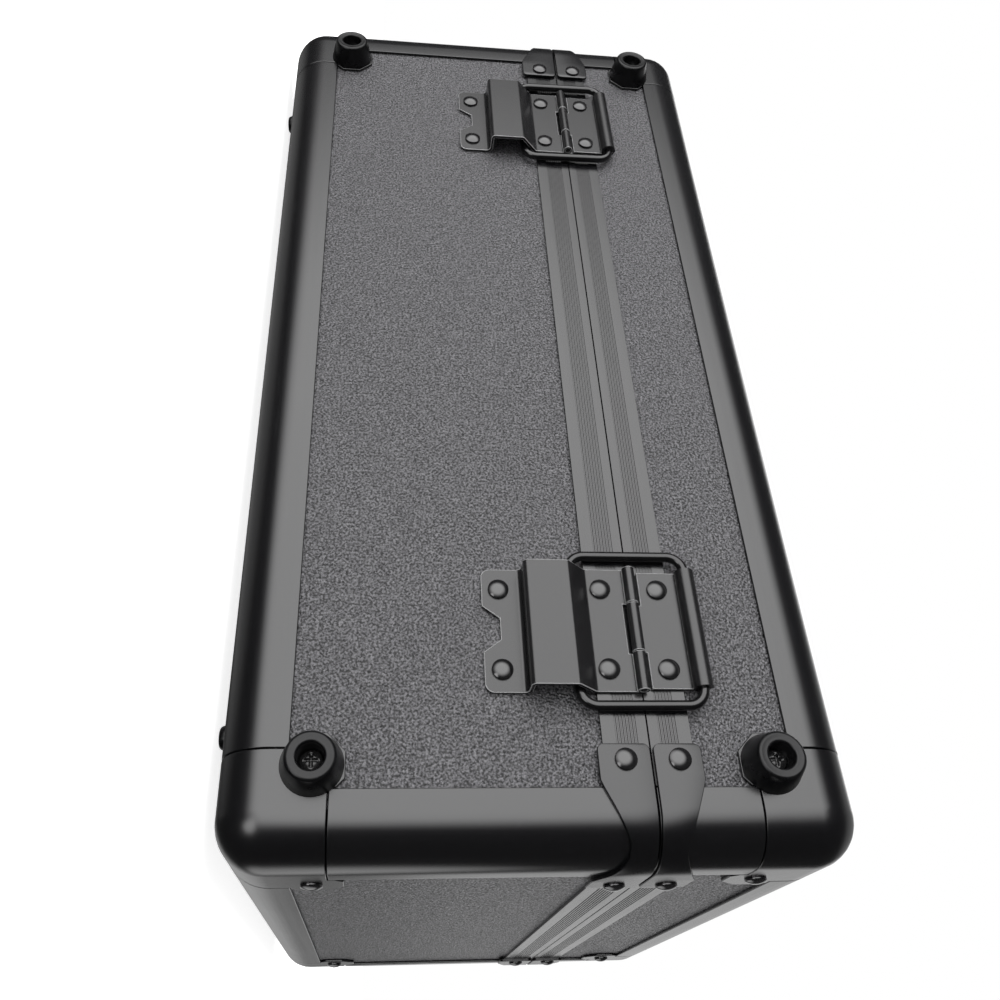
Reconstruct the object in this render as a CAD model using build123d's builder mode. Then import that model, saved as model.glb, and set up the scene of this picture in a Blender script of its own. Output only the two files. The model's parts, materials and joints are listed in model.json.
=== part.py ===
from build123d import *
import os
from math import asin, atan, cos, degrees, radians, sin, sqrt

# Hard case for graded cards, in millimetres. +Z is up with the lid on top, +Y is the hinge side,
# -X is the left end. The floor under the bottom studs is Z = 0, and the whole part's box is
# centred on the Z axis.

# Case
case_length = 399.0
case_depth = 268.5
case_height = 190.0
lid_height = 63.7
split_gap = 0.4

# Panels and edge extrusions
skin = 1.2
panel_thickness = 3.2
panel_slack = 0.2
edge_width = 20.8
edge_radius = 15.0
web = 1.2
inside_cut = 6.0
seam = 0.3

# Closing frames round the mouth
base_frame_width = 14.0
lid_frame_width = 12.9
frame_bar = 4.0
tongue_inset = 3.4
tongue_thickness = 1.2
tongue_height = 2.2
groove_slack = 0.5
groove_inner_slack = 0.9
groove_depth = 2.7
lid_rail = 7.0
rib_pitch = 1.0
rib_depth = 0.3
rib_groove = 0.5
base_rib_count = 7
lid_rib_count = 6
rib_start = 3.2

# Moulded corner pieces
corner_reach = 32.2
corner_lobe = 10.3
lobe_sides = 8
fastener_inset = 27.5
spigot_length = 9.0
spigot_width = 6.0
spigot_slack = 0.45

# Split brackets at the corners
bracket_sheet = 1.2
bracket_reach = 33.3
bracket_taper_start = 22.4
bracket_taper_end = 6.0
bracket_corner = 2.0
base_bracket_height = 15.8
lid_bracket_height = 14.5
bracket_gap = 0.5
bracket_waist = 8.0
bracket_rivet_inset = 28.5
bracket_rivet_drop = 8.1

# Rivets, feet and studs
rivet_radius = 3.4
rivet_height = 1.7
rivet_sides = 6
foot_radius = 9.2
foot_rim_radius = 7.4
foot_height = 8.7
foot_hole = 3.8
foot_floor = 2.6
foot_sides = 12
screw_radius = 3.2
screw_head = 1.8
stud_radius = 5.5
stud_face = 3.4
stud_height = 3.4
stud_inset_x = 44.0
stud_inset_y = 26.5

# Stay hinges
hinge_inset = 70.5
hinge_width = 42.4
hinge_sheet = 1.3
pin_radius = 1.0
pin_clearance = 0.05
pivot_sides = 12
pin_height = 2.3
barrel_radius = 2.0
barrel_middle = 16.5
barrel_gap = 0.3
barrel_relief = 2.9
flange_low = 48.3
flange_corner = 3.0
flange_notch_outer = 15.9
flange_notch_inner = 7.3
flange_notch_depth = 5.6
tunnel_low = 35.2
tunnel_height = 7.6
tunnel_bend = 20.7
tunnel_end = 14.3
tunnel_round = 1.6
hinge_rivet_spacing = 27.6
flange_rivet_drop = 42.8
leaf_rivet_drop = 9.8
lid_leaf_rivet_rise = 9.0
lid_leaf_start = 3.0

# Stay rings
ring_radius = 1.6
ring_side_gap = 4.6
ring_reach = 38.5
ring_corner = 5.4
curl_distance = 18.7
curl_clearance = 0.06
curl_inset = 1.0
curl_open_from = 285.0
curl_open_to = 340.0
leg_lift_shut = 1.75

# Latches
latch_x = 129.0
latch_width = 38.0
latch_sheet = 1.2
latch_top = 16.0
latch_bottom = 64.0
latch_corner = 3.0
latch_rivet_x = 7.0
latch_rivet_z = 16.0
lever_pivot_drop = 24.0
lever_pivot_out = 4.2
claw_pivot_drop = 32.0
claw_pivot_out = 2.9
cheek_offset = 12.2
cheek_round = 2.2
lever_half_width = 15.4
lever_round = 3.2
lever_out = 7.8
lever_cover_top = 37.5
lever_cover_bottom = 58.0
lever_inner = 1.0
lever_lip_out = 10.6
lever_lip_drop = 62.0
pivot_pin_radius = 1.2
claw_pin_radius = 1.0
claw_eye_radius = 1.9
claw_width = 20.0
claw_sheet = 1.2
claw_out = 5.0
claw_top = 9.6
claw_hook_reach = 2.3
claw_bend_low = 8.0
claw_bend_high = 2.0
lock_drop = 49.0
lock_radius = 5.4
lock_stand = 1.2
lock_back = 4.0
plug_radius = 4.0
plug_clearance = 0.1
plug_recess = 0.4
key_slot_width = 1.2
key_slot_length = 5.0
key_slot_depth = 2.0

# Latch strikes on the lid
strike_width = 36.0
strike_low = 1.6
strike_high = 12.2
strike_corner = 2.0
nose_width = 19.0
nose_low = 5.2
nose_high = 8.6
nose_out = 3.9
strike_rivet_x = 13.6

# Handle
handle_pivot_drop = 42.0
handle_pivot_out = 9.0
handle_arm_x = 61.0
handle_arm_length = 40.0
handle_corner = 16.0
handle_bar_width = 13.0
handle_bar_depth = 13.0
handle_bar_round = 4.0
grip_length = 92.0
grip_width = 19.0
grip_depth = 16.0
grip_end_width = 14.5
grip_round = 4.5
handle_pin_radius = 2.5
handle_eye_radius = 7.0
handle_clearance = 0.06
handle_side_gap = 0.5
bracket_ear = 4.0
ear_radius = 6.5
bracket_plate_width = 40.0
bracket_plate_height = 26.0
bracket_plate_sheet = 2.2
bracket_plate_corner = 5.0
bracket_plate_rivet = 15.5

# Foam
foam_slack = 0.5
foam_floor = 12.0
foam_edge = 6.4
foam_top_drop = 4.3
row_count = 4
row_wall = 9.0
lid_pad_thickness = 28.0

# Planes and levels that follow from the sizes above
x_half = case_length / 2
back_reach = max(foot_height, tunnel_height)
front_reach = handle_pivot_out + grip_depth / 2
y_back = case_depth / 2 + (front_reach - back_reach) / 2
y_front = y_back - case_depth
y_mid = (y_back + y_front) / 2
base_height = case_height - lid_height
z_bottom = stud_height
z_split = z_bottom + base_height
z_top = z_bottom + case_height
wall = 2 * skin + panel_thickness
base_low = z_split - split_gap / 2
lid_low = z_split + split_gap / 2

back_face = Plane(origin=(0, y_back, z_split), x_dir=(-1, 0, 0), z_dir=(0, 1, 0))
front_face = Plane(origin=(0, y_front, z_split), x_dir=(1, 0, 0), z_dir=(0, -1, 0))
left_face = Plane(origin=(-x_half, y_mid, z_split), x_dir=(0, -1, 0), z_dir=(-1, 0, 0))
right_face = Plane(origin=(x_half, y_mid, z_split), x_dir=(0, 1, 0), z_dir=(1, 0, 0))
bottom_face = Plane(origin=(0, y_mid, z_bottom), x_dir=(1, 0, 0), z_dir=(0, 0, -1))
top_face = Plane(origin=(0, y_mid, z_top), x_dir=(1, 0, 0), z_dir=(0, 0, 1))
upright_faces = {
    "front": (front_face, case_length),
    "back": (back_face, case_length),
    "left": (left_face, case_depth),
    "right": (right_face, case_depth),
}

finished = {}


def keep(node, part):
    """Label a finished piece and hold it for writing."""
    part.label = node
    finished[node] = part


def mirrored_in_x(part):
    """The same piece at the other end of the case."""
    return mirror(part, about=Plane.YZ)


def both_ends(part):
    """The piece and its mirror image at the other end, as one group."""
    return Compound(children=[part, mirrored_in_x(part)])


def four_corners(part):
    """The piece at all four upright corners, as one group."""
    across = mirror(part, about=Plane.XZ.offset(-y_mid))
    return Compound(children=[part, mirrored_in_x(part), across, mirrored_in_x(across)])


# Sections of the extrusions, with the outer corner at the local origin


def rounded_square(depth):
    """The square between the two legs' ends, set in by depth, with its outer corner rounded."""
    with BuildSketch(mode=Mode.PRIVATE) as square:
        with Locations((depth, depth)):
            Rectangle(edge_width - depth, edge_width - depth, align=(Align.MIN, Align.MIN))
        outer_corner = square.vertices().sort_by_distance((0, 0, 0))[0]
        fillet(outer_corner, edge_radius - depth)
    return square.sketch


def cut_square(depth, cut):
    """The same square with its outer corner cut at 45 degrees."""
    with BuildSketch(mode=Mode.PRIVATE) as square:
        with Locations((depth, depth)):
            Rectangle(edge_width - depth, edge_width - depth, align=(Align.MIN, Align.MIN))
        chamfer(square.vertices().sort_by_distance((0, 0, 0))[0], cut)
    return square.sketch


pocket_cut = inside_cut + 2 * skin - web * sqrt(2)
with BuildSketch() as pocket_section:
    add(rounded_square(skin))
    with Locations((edge_radius - web, 0), (0, edge_radius - web)):
        Rectangle(edge_width, edge_width, align=(Align.MIN, Align.MIN), mode=Mode.SUBTRACT)
    add(cut_square(skin + panel_thickness, pocket_cut), mode=Mode.SUBTRACT)

with BuildSketch() as edge_section:
    add(rounded_square(0))
    add(cut_square(wall, inside_cut), mode=Mode.SUBTRACT)
    with Locations((edge_radius, skin)):
        Rectangle(edge_width, panel_thickness, align=(Align.MIN, Align.MIN), mode=Mode.SUBTRACT)
    with Locations((skin, edge_radius)):
        Rectangle(panel_thickness, edge_width, align=(Align.MIN, Align.MIN), mode=Mode.SUBTRACT)
    add(pocket_section.sketch, mode=Mode.SUBTRACT)


def edge_plane(corner, inward_a, inward_b):
    """A plane across an edge, with both legs of the section pointing into the case."""
    a, b = Vector(inward_a), Vector(inward_b)
    return Plane(origin=corner, x_dir=a, z_dir=a.cross(b))


def edge_bar(corner, inward_a, inward_b, length):
    """One edge extrusion, centred on the middle of its edge."""
    with BuildPart() as bar:
        with BuildSketch(edge_plane(corner, inward_a, inward_b)):
            add(edge_section.sketch)
        extrude(amount=length / 2, both=True)
    return bar.part


long_edge = case_length - 2 * (corner_reach + seam)
short_edge = case_depth - 2 * (corner_reach + seam)
for half, level, inward in (("base", z_bottom, (0, 0, 1)), ("lid", z_top, (0, 0, -1))):
    keep(f"{half}_front_edge", edge_bar((0, y_front, level), (0, 1, 0), inward, long_edge))
    keep(f"{half}_back_edge", edge_bar((0, y_back, level), (0, -1, 0), inward, long_edge))
    keep(f"{half}_left_edge", edge_bar((-x_half, y_mid, level), (1, 0, 0), inward, short_edge))
    keep(f"{half}_right_edge", edge_bar((x_half, y_mid, level), (-1, 0, 0), inward, short_edge))

for half, low, high in (
    ("base", z_bottom + corner_reach + seam, base_low),
    ("lid", lid_low, z_top - corner_reach - seam),
):
    posts = []
    for x, along in ((-x_half, (1, 0, 0)), (x_half, (-1, 0, 0))):
        for y, across in ((y_front, (0, 1, 0)), (y_back, (0, -1, 0))):
            posts.append(edge_bar((x, y, (low + high) / 2), along, across, high - low))
    keep(f"{half}_corner_posts", Compound(children=posts))


# Board panels, held in the slots of the extrusions


def sheet_on(face, width, low, high, amount, corner=0):
    """A flat sheet on a face between two heights, with its corners cut at 45 degrees if asked."""
    with BuildPart() as sheet:
        with BuildSketch(face) as outline:
            with Locations((0, (low + high) / 2)):
                Rectangle(width, high - low)
            if corner:
                chamfer(outline.vertices(), corner)
        extrude(amount=amount)
    return sheet.part


panel_margin = edge_radius + panel_slack
panel_mouth = split_gap / 2 + frame_bar + panel_slack
for side, (face, length) in upright_faces.items():
    board = face.offset(-skin)
    across = length - 2 * panel_margin
    low = z_bottom + panel_margin - z_split
    high = z_top - panel_margin - z_split
    keep(f"base_{side}_panel", sheet_on(board, across, low, -panel_mouth, -panel_thickness))
    keep(f"lid_{side}_panel", sheet_on(board, across, panel_mouth, high, -panel_thickness))
half_depth = case_depth / 2 - panel_margin
for node, face in (("base_bottom_panel", bottom_face), ("lid_top_panel", top_face)):
    flat = sheet_on(
        face.offset(-skin), case_length - 2 * panel_margin, -half_depth, half_depth, -panel_thickness
    )
    keep(node, flat)


# Closing frames: ribbed strips between the corner posts, tongue on the base and groove in the lid


def frame_section(width, rail, rib_count):
    """Section of a closing strip, x inward from the outside and y away from the split."""
    with BuildSketch(mode=Mode.PRIVATE) as section:
        Rectangle(skin, width, align=(Align.MIN, Align.MIN))
        Rectangle(rail, frame_bar, align=(Align.MIN, Align.MIN))
        with Locations((wall - skin, 0)):
            Rectangle(skin, width, align=(Align.MIN, Align.MIN))
        with Locations([(0, rib_start + count * rib_pitch) for count in range(rib_count)]):
            Rectangle(rib_depth, rib_groove, align=(Align.MIN, Align.MIN), mode=Mode.SUBTRACT)
    return section.sketch


with BuildSketch() as base_strip:
    add(frame_section(base_frame_width, wall, base_rib_count))
    with Locations((tongue_inset, -tongue_height)):
        Rectangle(tongue_thickness, tongue_height, align=(Align.MIN, Align.MIN))

with BuildSketch() as lid_strip:
    add(frame_section(lid_frame_width, lid_rail, lid_rib_count))
    with Locations((tongue_inset - groove_slack, 0)):
        Rectangle(
            groove_slack + tongue_thickness + groove_inner_slack,
            groove_depth,
            align=(Align.MIN, Align.MIN),
            mode=Mode.SUBTRACT,
        )

strip_ends = 2 * (edge_width + seam)
for half, section, level, away in (
    ("base", base_strip, base_low, (0, 0, -1)),
    ("lid", lid_strip, lid_low, (0, 0, 1)),
):
    strips = []
    for x, y, inward, length in (
        (0, y_front, (0, 1, 0), case_length),
        (0, y_back, (0, -1, 0), case_length),
        (-x_half, y_mid, (1, 0, 0), case_depth),
        (x_half, y_mid, (-1, 0, 0), case_depth),
    ):
        with BuildPart() as strip:
            with BuildSketch(edge_plane((x, y, level), inward, away)):
                add(section.sketch)
            extrude(amount=(length - strip_ends) / 2, both=True)
        strips.append(strip.part)
    keep(f"{half}_closing_frame", Compound(children=strips))


# Moulded corner pieces, drawn once with the outer corner at the origin and mirrored to eight

corner_axes = (Plane.XY, Plane.YZ, Plane.ZX)
pocket_far = edge_radius - skin
pocket_near = sqrt(2) * (edge_radius - skin - panel_thickness) - pocket_cut / sqrt(2)
spigot_thickness = pocket_far - pocket_near - 2 * spigot_slack
spigot_place = edge_radius - (pocket_far + pocket_near) / (2 * sqrt(2))
past_end = corner_reach + 1


def octant(start, size, plane=Plane.XY):
    """A block from a start point in two sketch directions and through a given depth range."""
    (u, v, depth), (width, height, thickness) = start, size
    with BuildPart() as block:
        with BuildSketch(plane.offset(depth)):
            with Locations((u, v)):
                Rectangle(width, height, align=(Align.MIN, Align.MIN))
        extrude(amount=thickness)
    return block.part


with BuildPart() as corner_cavity:
    add(octant((wall, wall, wall), (past_end, past_end, past_end)))
    chamfer(corner_cavity.edges().sort_by_distance((0, 0, 0))[:3], inside_cut)

with BuildPart() as corner_piece:
    add(octant((0, 0, 0), (corner_reach, corner_reach, corner_reach)))
    fillet(corner_piece.edges().sort_by_distance((0, 0, 0))[:3], edge_radius)
    add(corner_cavity.part, mode=Mode.SUBTRACT)
    for across in corner_axes:
        window = octant((edge_width, edge_width, -1), (past_end, past_end, wall + 2), across)
        slot = octant((edge_radius, edge_radius, skin), (past_end, past_end, panel_thickness), across)
        add(window, mode=Mode.SUBTRACT)
        add(slot, mode=Mode.SUBTRACT)
    for across in corner_axes:
        with BuildSketch(across):
            with Locations((fastener_inset, fastener_inset)):
                RegularPolygon(corner_lobe, lobe_sides, rotation=180 / lobe_sides)
            with Locations((corner_reach, 0)):
                Rectangle(
                    corner_reach, edge_width + seam, align=(Align.MIN, Align.MIN), mode=Mode.SUBTRACT
                )
            with Locations((0, corner_reach)):
                Rectangle(
                    edge_width + seam, corner_reach, align=(Align.MIN, Align.MIN), mode=Mode.SUBTRACT
                )
        extrude(amount=skin)
        with BuildSketch(across.offset(corner_reach - 1)):
            with Locations(Location((spigot_place, spigot_place, 0), (0, 0, 45))):
                Rectangle(spigot_thickness, spigot_width)
        extrude(amount=spigot_length + 1)
for half, level, turned in (("base", z_bottom, False), ("lid", z_top, True)):
    upright = mirror(corner_piece.part, about=Plane.XY) if turned else corner_piece.part
    keep(f"{half}_corner_pieces", four_corners(Pos(-x_half, y_front, level) * upright))


# Split brackets: sheet angles wrapped round the corner posts beside the parting line


def post_outline(reach):
    """The outline of a corner post, out to reach, with its outer corner rounded."""
    with BuildSketch(mode=Mode.PRIVATE) as outline:
        Rectangle(reach, reach, align=(Align.MIN, Align.MIN))
        fillet(outline.vertices().sort_by_distance((0, 0, 0))[0], edge_radius)
    return outline.sketch


def split_bracket(height):
    """One bracket with the post's outer corner at the origin and +Z away from the split."""
    outside = edge_radius + bracket_sheet
    with BuildPart() as bracket:
        with BuildSketch(Plane.XY.offset(bracket_gap)):
            with Locations((-bracket_sheet, -bracket_sheet)):
                Rectangle(
                    bracket_reach + bracket_sheet,
                    bracket_reach + bracket_sheet,
                    align=(Align.MIN, Align.MIN),
                )
            outer_corner = vertices().sort_by_distance((-outside, -outside, bracket_gap))[0]
            fillet(outer_corner, outside)
            add(post_outline(2 * bracket_reach), mode=Mode.SUBTRACT)
        extrude(amount=height)
        far_corners = bracket.edges().filter_by(Axis.Y).group_by(Axis.X)[-1]
        far_corners += bracket.edges().filter_by(Axis.X).group_by(Axis.Y)[-1]
        chamfer(far_corners, bracket_corner)
        top = bracket_gap + height
        taper = (
            (bracket_taper_start, top),
            (bracket_taper_end, bracket_gap + bracket_waist),
            (-outside, bracket_gap + bracket_waist),
            (-outside, top + 1),
            (bracket_taper_start, top + 1),
        )
        quarter_depth = edge_radius * (1 - cos(radians(45)))
        for across in (
            Plane(origin=(0, quarter_depth, 0), x_dir=(1, 0, 0), z_dir=(0, -1, 0)),
            Plane(origin=(quarter_depth, 0, 0), x_dir=(0, 1, 0), z_dir=(1, 0, 0)),
        ):
            with BuildSketch(across):
                with BuildLine():
                    Polyline(*taper, close=True)
                make_face()
            extrude(amount=outside, mode=Mode.SUBTRACT)
    return bracket.part


for half, height, turned in (("base", base_bracket_height, True), ("lid", lid_bracket_height, False)):
    upright = split_bracket(height)
    if turned:
        upright = mirror(upright, about=Plane.XY)
    keep(f"{half}_split_brackets", four_corners(Pos(-x_half, y_front, z_split) * upright))


# Stay hinges: plate with flange, tunnel, leaf and knuckles; lid leaf with its curl; wire ring


def round_bore(radius):
    """A bore with flat sides that stand clear of a round pin of less than the radius."""
    with BuildSketch(mode=Mode.PRIVATE) as bore:
        RegularPolygon(radius, pivot_sides, major_radius=False)
    return bore.sketch


hinge_x = x_half - hinge_inset
hinge_side = Plane(origin=(-hinge_x, y_back, z_split), x_dir=(0, 1, 0), z_dir=(1, 0, 0))
hinge_front = Plane(origin=(-hinge_x, y_back, z_split), x_dir=(-1, 0, 0), z_dir=(0, 1, 0))
barrel_start = barrel_middle / 2 + barrel_gap
flange_out = hinge_sheet - skin


def knuckle_section(reach):
    """A knuckle round the pin with the strip that joins it to its leaf, reach away in height."""
    with BuildSketch(mode=Mode.PRIVATE) as section:
        with Locations((hinge_sheet / 2, reach / 2)):
            Rectangle(hinge_sheet, abs(reach))
        with Locations((pin_height, 0)):
            RegularPolygon(barrel_radius, pivot_sides)
            add(round_bore(pin_radius + pin_clearance), mode=Mode.SUBTRACT)
    return section.sketch


with BuildPart() as hinge_plate:
    with BuildSketch(hinge_side):
        with BuildLine():
            FilletPolyline(
                (flange_out, -flange_low),
                (flange_out, -tunnel_low),
                (tunnel_height, -tunnel_low),
                (tunnel_height, -tunnel_bend),
                (hinge_sheet, -tunnel_end),
                (hinge_sheet, -barrel_relief),
                radius=tunnel_round,
            )
            offset(amount=hinge_sheet, side=Side.LEFT)
        make_face()
    extrude(amount=hinge_width / 2, both=True)
    fillet(hinge_plate.edges().filter_by(Axis.Y).sort_by(Axis.Z)[:2], flange_corner)
    with BuildSketch(hinge_front.offset(-skin)):
        with BuildLine():
            Polyline(
                (-flange_notch_outer / 2, -flange_low),
                (-flange_notch_inner / 2, -flange_low + flange_notch_depth),
                (flange_notch_inner / 2, -flange_low + flange_notch_depth),
                (flange_notch_outer / 2, -flange_low),
                close=True,
            )
        make_face()
    extrude(amount=hinge_sheet, mode=Mode.SUBTRACT)
    for start in (barrel_start, -hinge_width / 2):
        with BuildSketch(hinge_side.offset(start)):
            add(knuckle_section(-barrel_relief))
        extrude(amount=hinge_width / 2 - barrel_start)

with BuildPart() as hinge_leaf:
    with BuildSketch(hinge_side):
        with Locations((hinge_sheet / 2, (lid_leaf_start + curl_distance) / 2)):
            Rectangle(hinge_sheet, curl_distance - lid_leaf_start)
        with Locations((pin_height, curl_distance)):
            RegularPolygon(ring_radius + curl_clearance + hinge_sheet, pivot_sides)
            add(round_bore(ring_radius + curl_clearance), mode=Mode.SUBTRACT)
        with BuildLine():
            mouth_centre = (pin_height, curl_distance)
            mouth_reach = 3 * ring_radius
            first = PolarLine(mouth_centre, mouth_reach, curl_open_from)
            second = PolarLine(mouth_centre, mouth_reach, curl_open_to)
            Line(first @ 1, second @ 1)
        make_face(mode=Mode.SUBTRACT)
    extrude(amount=hinge_width / 2 - curl_inset, both=True)
    with BuildSketch(hinge_side):
        add(knuckle_section(lid_leaf_start))
    extrude(amount=barrel_middle / 2, both=True)

with BuildPart() as hinge_pin:
    with BuildSketch(hinge_side):
        with Locations((pin_height, 0)):
            RegularPolygon(pin_radius, pivot_sides)
    extrude(amount=hinge_width / 2, both=True)

shut_tilt = asin((pin_height - leg_lift_shut) / ring_reach)
ring_plane = Plane(
    origin=(-hinge_x, y_back + pin_height, z_split + curl_distance),
    x_dir=(1, 0, 0),
    z_dir=(0, -cos(shut_tilt), sin(shut_tilt)),
)
ring_side = hinge_width / 2 + ring_side_gap
ring_cut = ring_corner * (2 - sqrt(2))
with BuildPart() as stay_ring:
    with BuildLine(ring_plane) as loop:
        Polyline(
            (0, 0),
            (ring_side - ring_cut, 0),
            (ring_side, -ring_cut),
            (ring_side, ring_cut - ring_reach),
            (ring_side - ring_cut, -ring_reach),
            (ring_cut - ring_side, -ring_reach),
            (-ring_side, ring_cut - ring_reach),
            (-ring_side, -ring_cut),
            (ring_cut - ring_side, 0),
            close=True,
        )
    wire_path = loop.wire()
    with BuildSketch(Plane(origin=wire_path @ 0, z_dir=wire_path % 0)):
        RegularPolygon(ring_radius, pivot_sides)
    sweep(path=wire_path, transition=Transition.RIGHT)
keep("hinge_plates", both_ends(hinge_plate.part))
keep("hinge_leaves", both_ends(hinge_leaf.part))
keep("hinge_pins", both_ends(hinge_pin.part))
keep("stay_ring_left", stay_ring.part)
keep("stay_ring_right", mirrored_in_x(stay_ring.part))


# Latches: plate with cheeks, lever with cover and lock barrel, claw, and the key plug

latch_side = Plane(origin=(-latch_x, y_front, z_split), x_dir=(0, -1, 0), z_dir=(-1, 0, 0))
latch_front = Plane(origin=(-latch_x, y_front, z_split), x_dir=(1, 0, 0), z_dir=(0, -1, 0))
lever_pivot = (lever_pivot_out, -lever_pivot_drop)
claw_pivot = (claw_pivot_out, -claw_pivot_drop)
lever_wall_start = lever_half_width - latch_sheet

with BuildPart() as latch_plate:
    add(
        sheet_on(
            latch_front.offset(-skin),
            latch_width,
            -latch_bottom,
            -latch_top,
            latch_sheet,
            latch_corner,
        )
    )
    for start in (cheek_offset, -cheek_offset - latch_sheet):
        with BuildSketch(latch_side.offset(start)):
            with Locations(lever_pivot):
                RegularPolygon(cheek_round, pivot_sides)
            with Locations((-skin / 2, -lever_pivot_drop)):
                Rectangle(skin, 4 * cheek_round)
            make_hull()
        extrude(amount=latch_sheet)
    for start, amount in (
        (cheek_offset, lever_half_width + pin_clearance - cheek_offset),
        (-cheek_offset, cheek_offset - lever_half_width - pin_clearance),
    ):
        with BuildSketch(latch_side.offset(start)):
            with Locations(lever_pivot):
                RegularPolygon(pivot_pin_radius, pivot_sides)
        extrude(amount=amount)

with BuildPart() as latch_lever:
    for start in (lever_wall_start, -lever_half_width):
        with BuildSketch(latch_side.offset(start)):
            with Locations(lever_pivot):
                RegularPolygon(lever_round, pivot_sides)
            with Locations(((lever_inner + lever_out) / 2, -(lever_cover_top + lever_cover_bottom) / 2)):
                Rectangle(lever_out - lever_inner, lever_cover_bottom - lever_cover_top)
            make_hull()
            with Locations(lever_pivot):
                add(round_bore(pivot_pin_radius + pin_clearance), mode=Mode.SUBTRACT)
        extrude(amount=latch_sheet)
    with BuildSketch(latch_side):
        with BuildLine():
            FilletPolyline(
                (lever_out, -lever_cover_top),
                (lever_out, -lever_cover_bottom),
                (lever_lip_out, -lever_lip_drop),
                radius=tunnel_round,
            )
            offset(amount=latch_sheet, side=Side.RIGHT)
        make_face()
    extrude(amount=lever_half_width, both=True)
    with BuildSketch(latch_side):
        with Locations(claw_pivot):
            RegularPolygon(claw_pin_radius, pivot_sides)
    extrude(amount=lever_half_width, both=True)
    with BuildSketch(latch_front.offset(lever_out + lock_stand)):
        with Locations((0, -lock_drop)):
            RegularPolygon(lock_radius, pivot_sides)
    extrude(amount=-(lock_stand + lever_out - lock_back))
    with BuildSketch(latch_front.offset(lever_out + lock_stand)):
        with Locations((0, -lock_drop)):
            add(round_bore(plug_radius + plug_clearance))
    extrude(amount=-(lock_stand + lever_out - lock_back), mode=Mode.SUBTRACT)

with BuildPart() as latch_claw:
    claw_near = claw_out - claw_sheet / 2
    with BuildSketch(latch_side):
        with BuildLine():
            FilletPolyline(
                (claw_pivot_out + claw_sheet / 2, -claw_pivot_drop),
                (claw_pivot_out + claw_sheet / 2, -claw_bend_low),
                (claw_near + claw_sheet, -claw_bend_high),
                (claw_near + claw_sheet, claw_top + claw_sheet / 2),
                (claw_out - claw_hook_reach, claw_top + claw_sheet / 2),
                radius=tunnel_round,
            )
            offset(amount=claw_sheet, side=Side.LEFT)
        make_face()
        with Locations(claw_pivot):
            RegularPolygon(claw_eye_radius, pivot_sides)
            add(round_bore(claw_pin_radius + pin_clearance), mode=Mode.SUBTRACT)
    extrude(amount=claw_width / 2, both=True)

with BuildPart() as lock_plug:
    with BuildSketch(latch_front.offset(lever_out + lock_stand - plug_recess)):
        with Locations((0, -lock_drop)):
            RegularPolygon(plug_radius, pivot_sides)
    extrude(amount=-(lever_out + lock_stand - plug_recess - lock_back))
    with BuildSketch(latch_front.offset(lever_out + lock_stand - plug_recess)):
        with Locations((0, -lock_drop)):
            Rectangle(key_slot_width, key_slot_length)
    extrude(amount=-key_slot_depth, mode=Mode.SUBTRACT)

strike_middle = (strike_low + strike_high) / 2
with BuildPart() as latch_strike:
    add(sheet_on(latch_front, strike_width, strike_low, strike_high, latch_sheet, strike_corner))
    with BuildSketch(latch_side):
        with BuildLine():
            Polyline(
                (latch_sheet / 2, nose_low),
                (nose_out, nose_low + (nose_high - nose_low) / 2),
                (nose_out, nose_high),
                (latch_sheet / 2, nose_high),
                close=True,
            )
        make_face()
    extrude(amount=nose_width / 2, both=True)

for node, piece in (
    ("latch_lever", latch_lever),
    ("latch_claw", latch_claw),
    ("lock_plug", lock_plug),
):
    keep(f"{node}_left", piece.part)
    keep(f"{node}_right", mirrored_in_x(piece.part))
keep("latch_plates", both_ends(latch_plate.part))
keep("latch_strikes", both_ends(latch_strike.part))


# Carrying handle: clevis brackets and a bail with a swelling grip

bracket_front = Plane(origin=(-handle_arm_x, y_front, z_split), x_dir=(1, 0, 0), z_dir=(0, -1, 0))
bracket_side = Plane(origin=(-handle_arm_x, y_front, z_split), x_dir=(0, -1, 0), z_dir=(-1, 0, 0))
handle_pivot = (handle_pivot_out, -handle_pivot_drop)
ear_start = handle_bar_width / 2 + handle_side_gap
plate_out = bracket_plate_sheet - skin

with BuildPart() as handle_bracket:
    add(
        sheet_on(
            bracket_front.offset(-skin),
            bracket_plate_width,
            -handle_pivot_drop - bracket_plate_height / 2,
            -handle_pivot_drop + bracket_plate_height / 2,
            bracket_plate_sheet,
            bracket_plate_corner,
        )
    )
    for start in (ear_start, -ear_start - bracket_ear):
        with BuildSketch(bracket_side.offset(start)):
            with Locations(handle_pivot):
                RegularPolygon(ear_radius, pivot_sides)
            with Locations((plate_out / 2, -handle_pivot_drop)):
                Rectangle(plate_out, bracket_plate_height - 2 * bracket_plate_corner)
            make_hull()
        extrude(amount=bracket_ear)
    with BuildSketch(bracket_side):
        with Locations(handle_pivot):
            RegularPolygon(handle_pin_radius, pivot_sides)
    extrude(amount=ear_start + bracket_ear, both=True)
keep("handle_brackets", both_ends(handle_bracket.part))

handle_plane = front_face.offset(handle_pivot_out)
handle_low = -handle_pivot_drop - handle_arm_length
handle_cut = handle_corner * (2 - sqrt(2))
grip_plane = Plane(
    origin=(0, y_front - handle_pivot_out, z_split + handle_low), x_dir=(1, 0, 0), z_dir=(0, -1, 0)
)
with BuildPart() as grip_body:
    with BuildSketch(grip_plane):
        with BuildLine():
            half_grip = grip_length / 2
            Polyline(
                (-half_grip, -grip_end_width / 2),
                (0, -grip_width / 2),
                (half_grip, -grip_end_width / 2),
                (half_grip, grip_end_width / 2),
                (0, grip_width / 2),
                (-half_grip, grip_end_width / 2),
                close=True,
            )
        make_face()
    extrude(amount=grip_depth / 2, both=True)
    long_edges = grip_body.edges().filter_by(lambda edge: abs(edge.tangent_at(0).X) > 0.9)
    chamfer(long_edges, grip_round)

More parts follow.
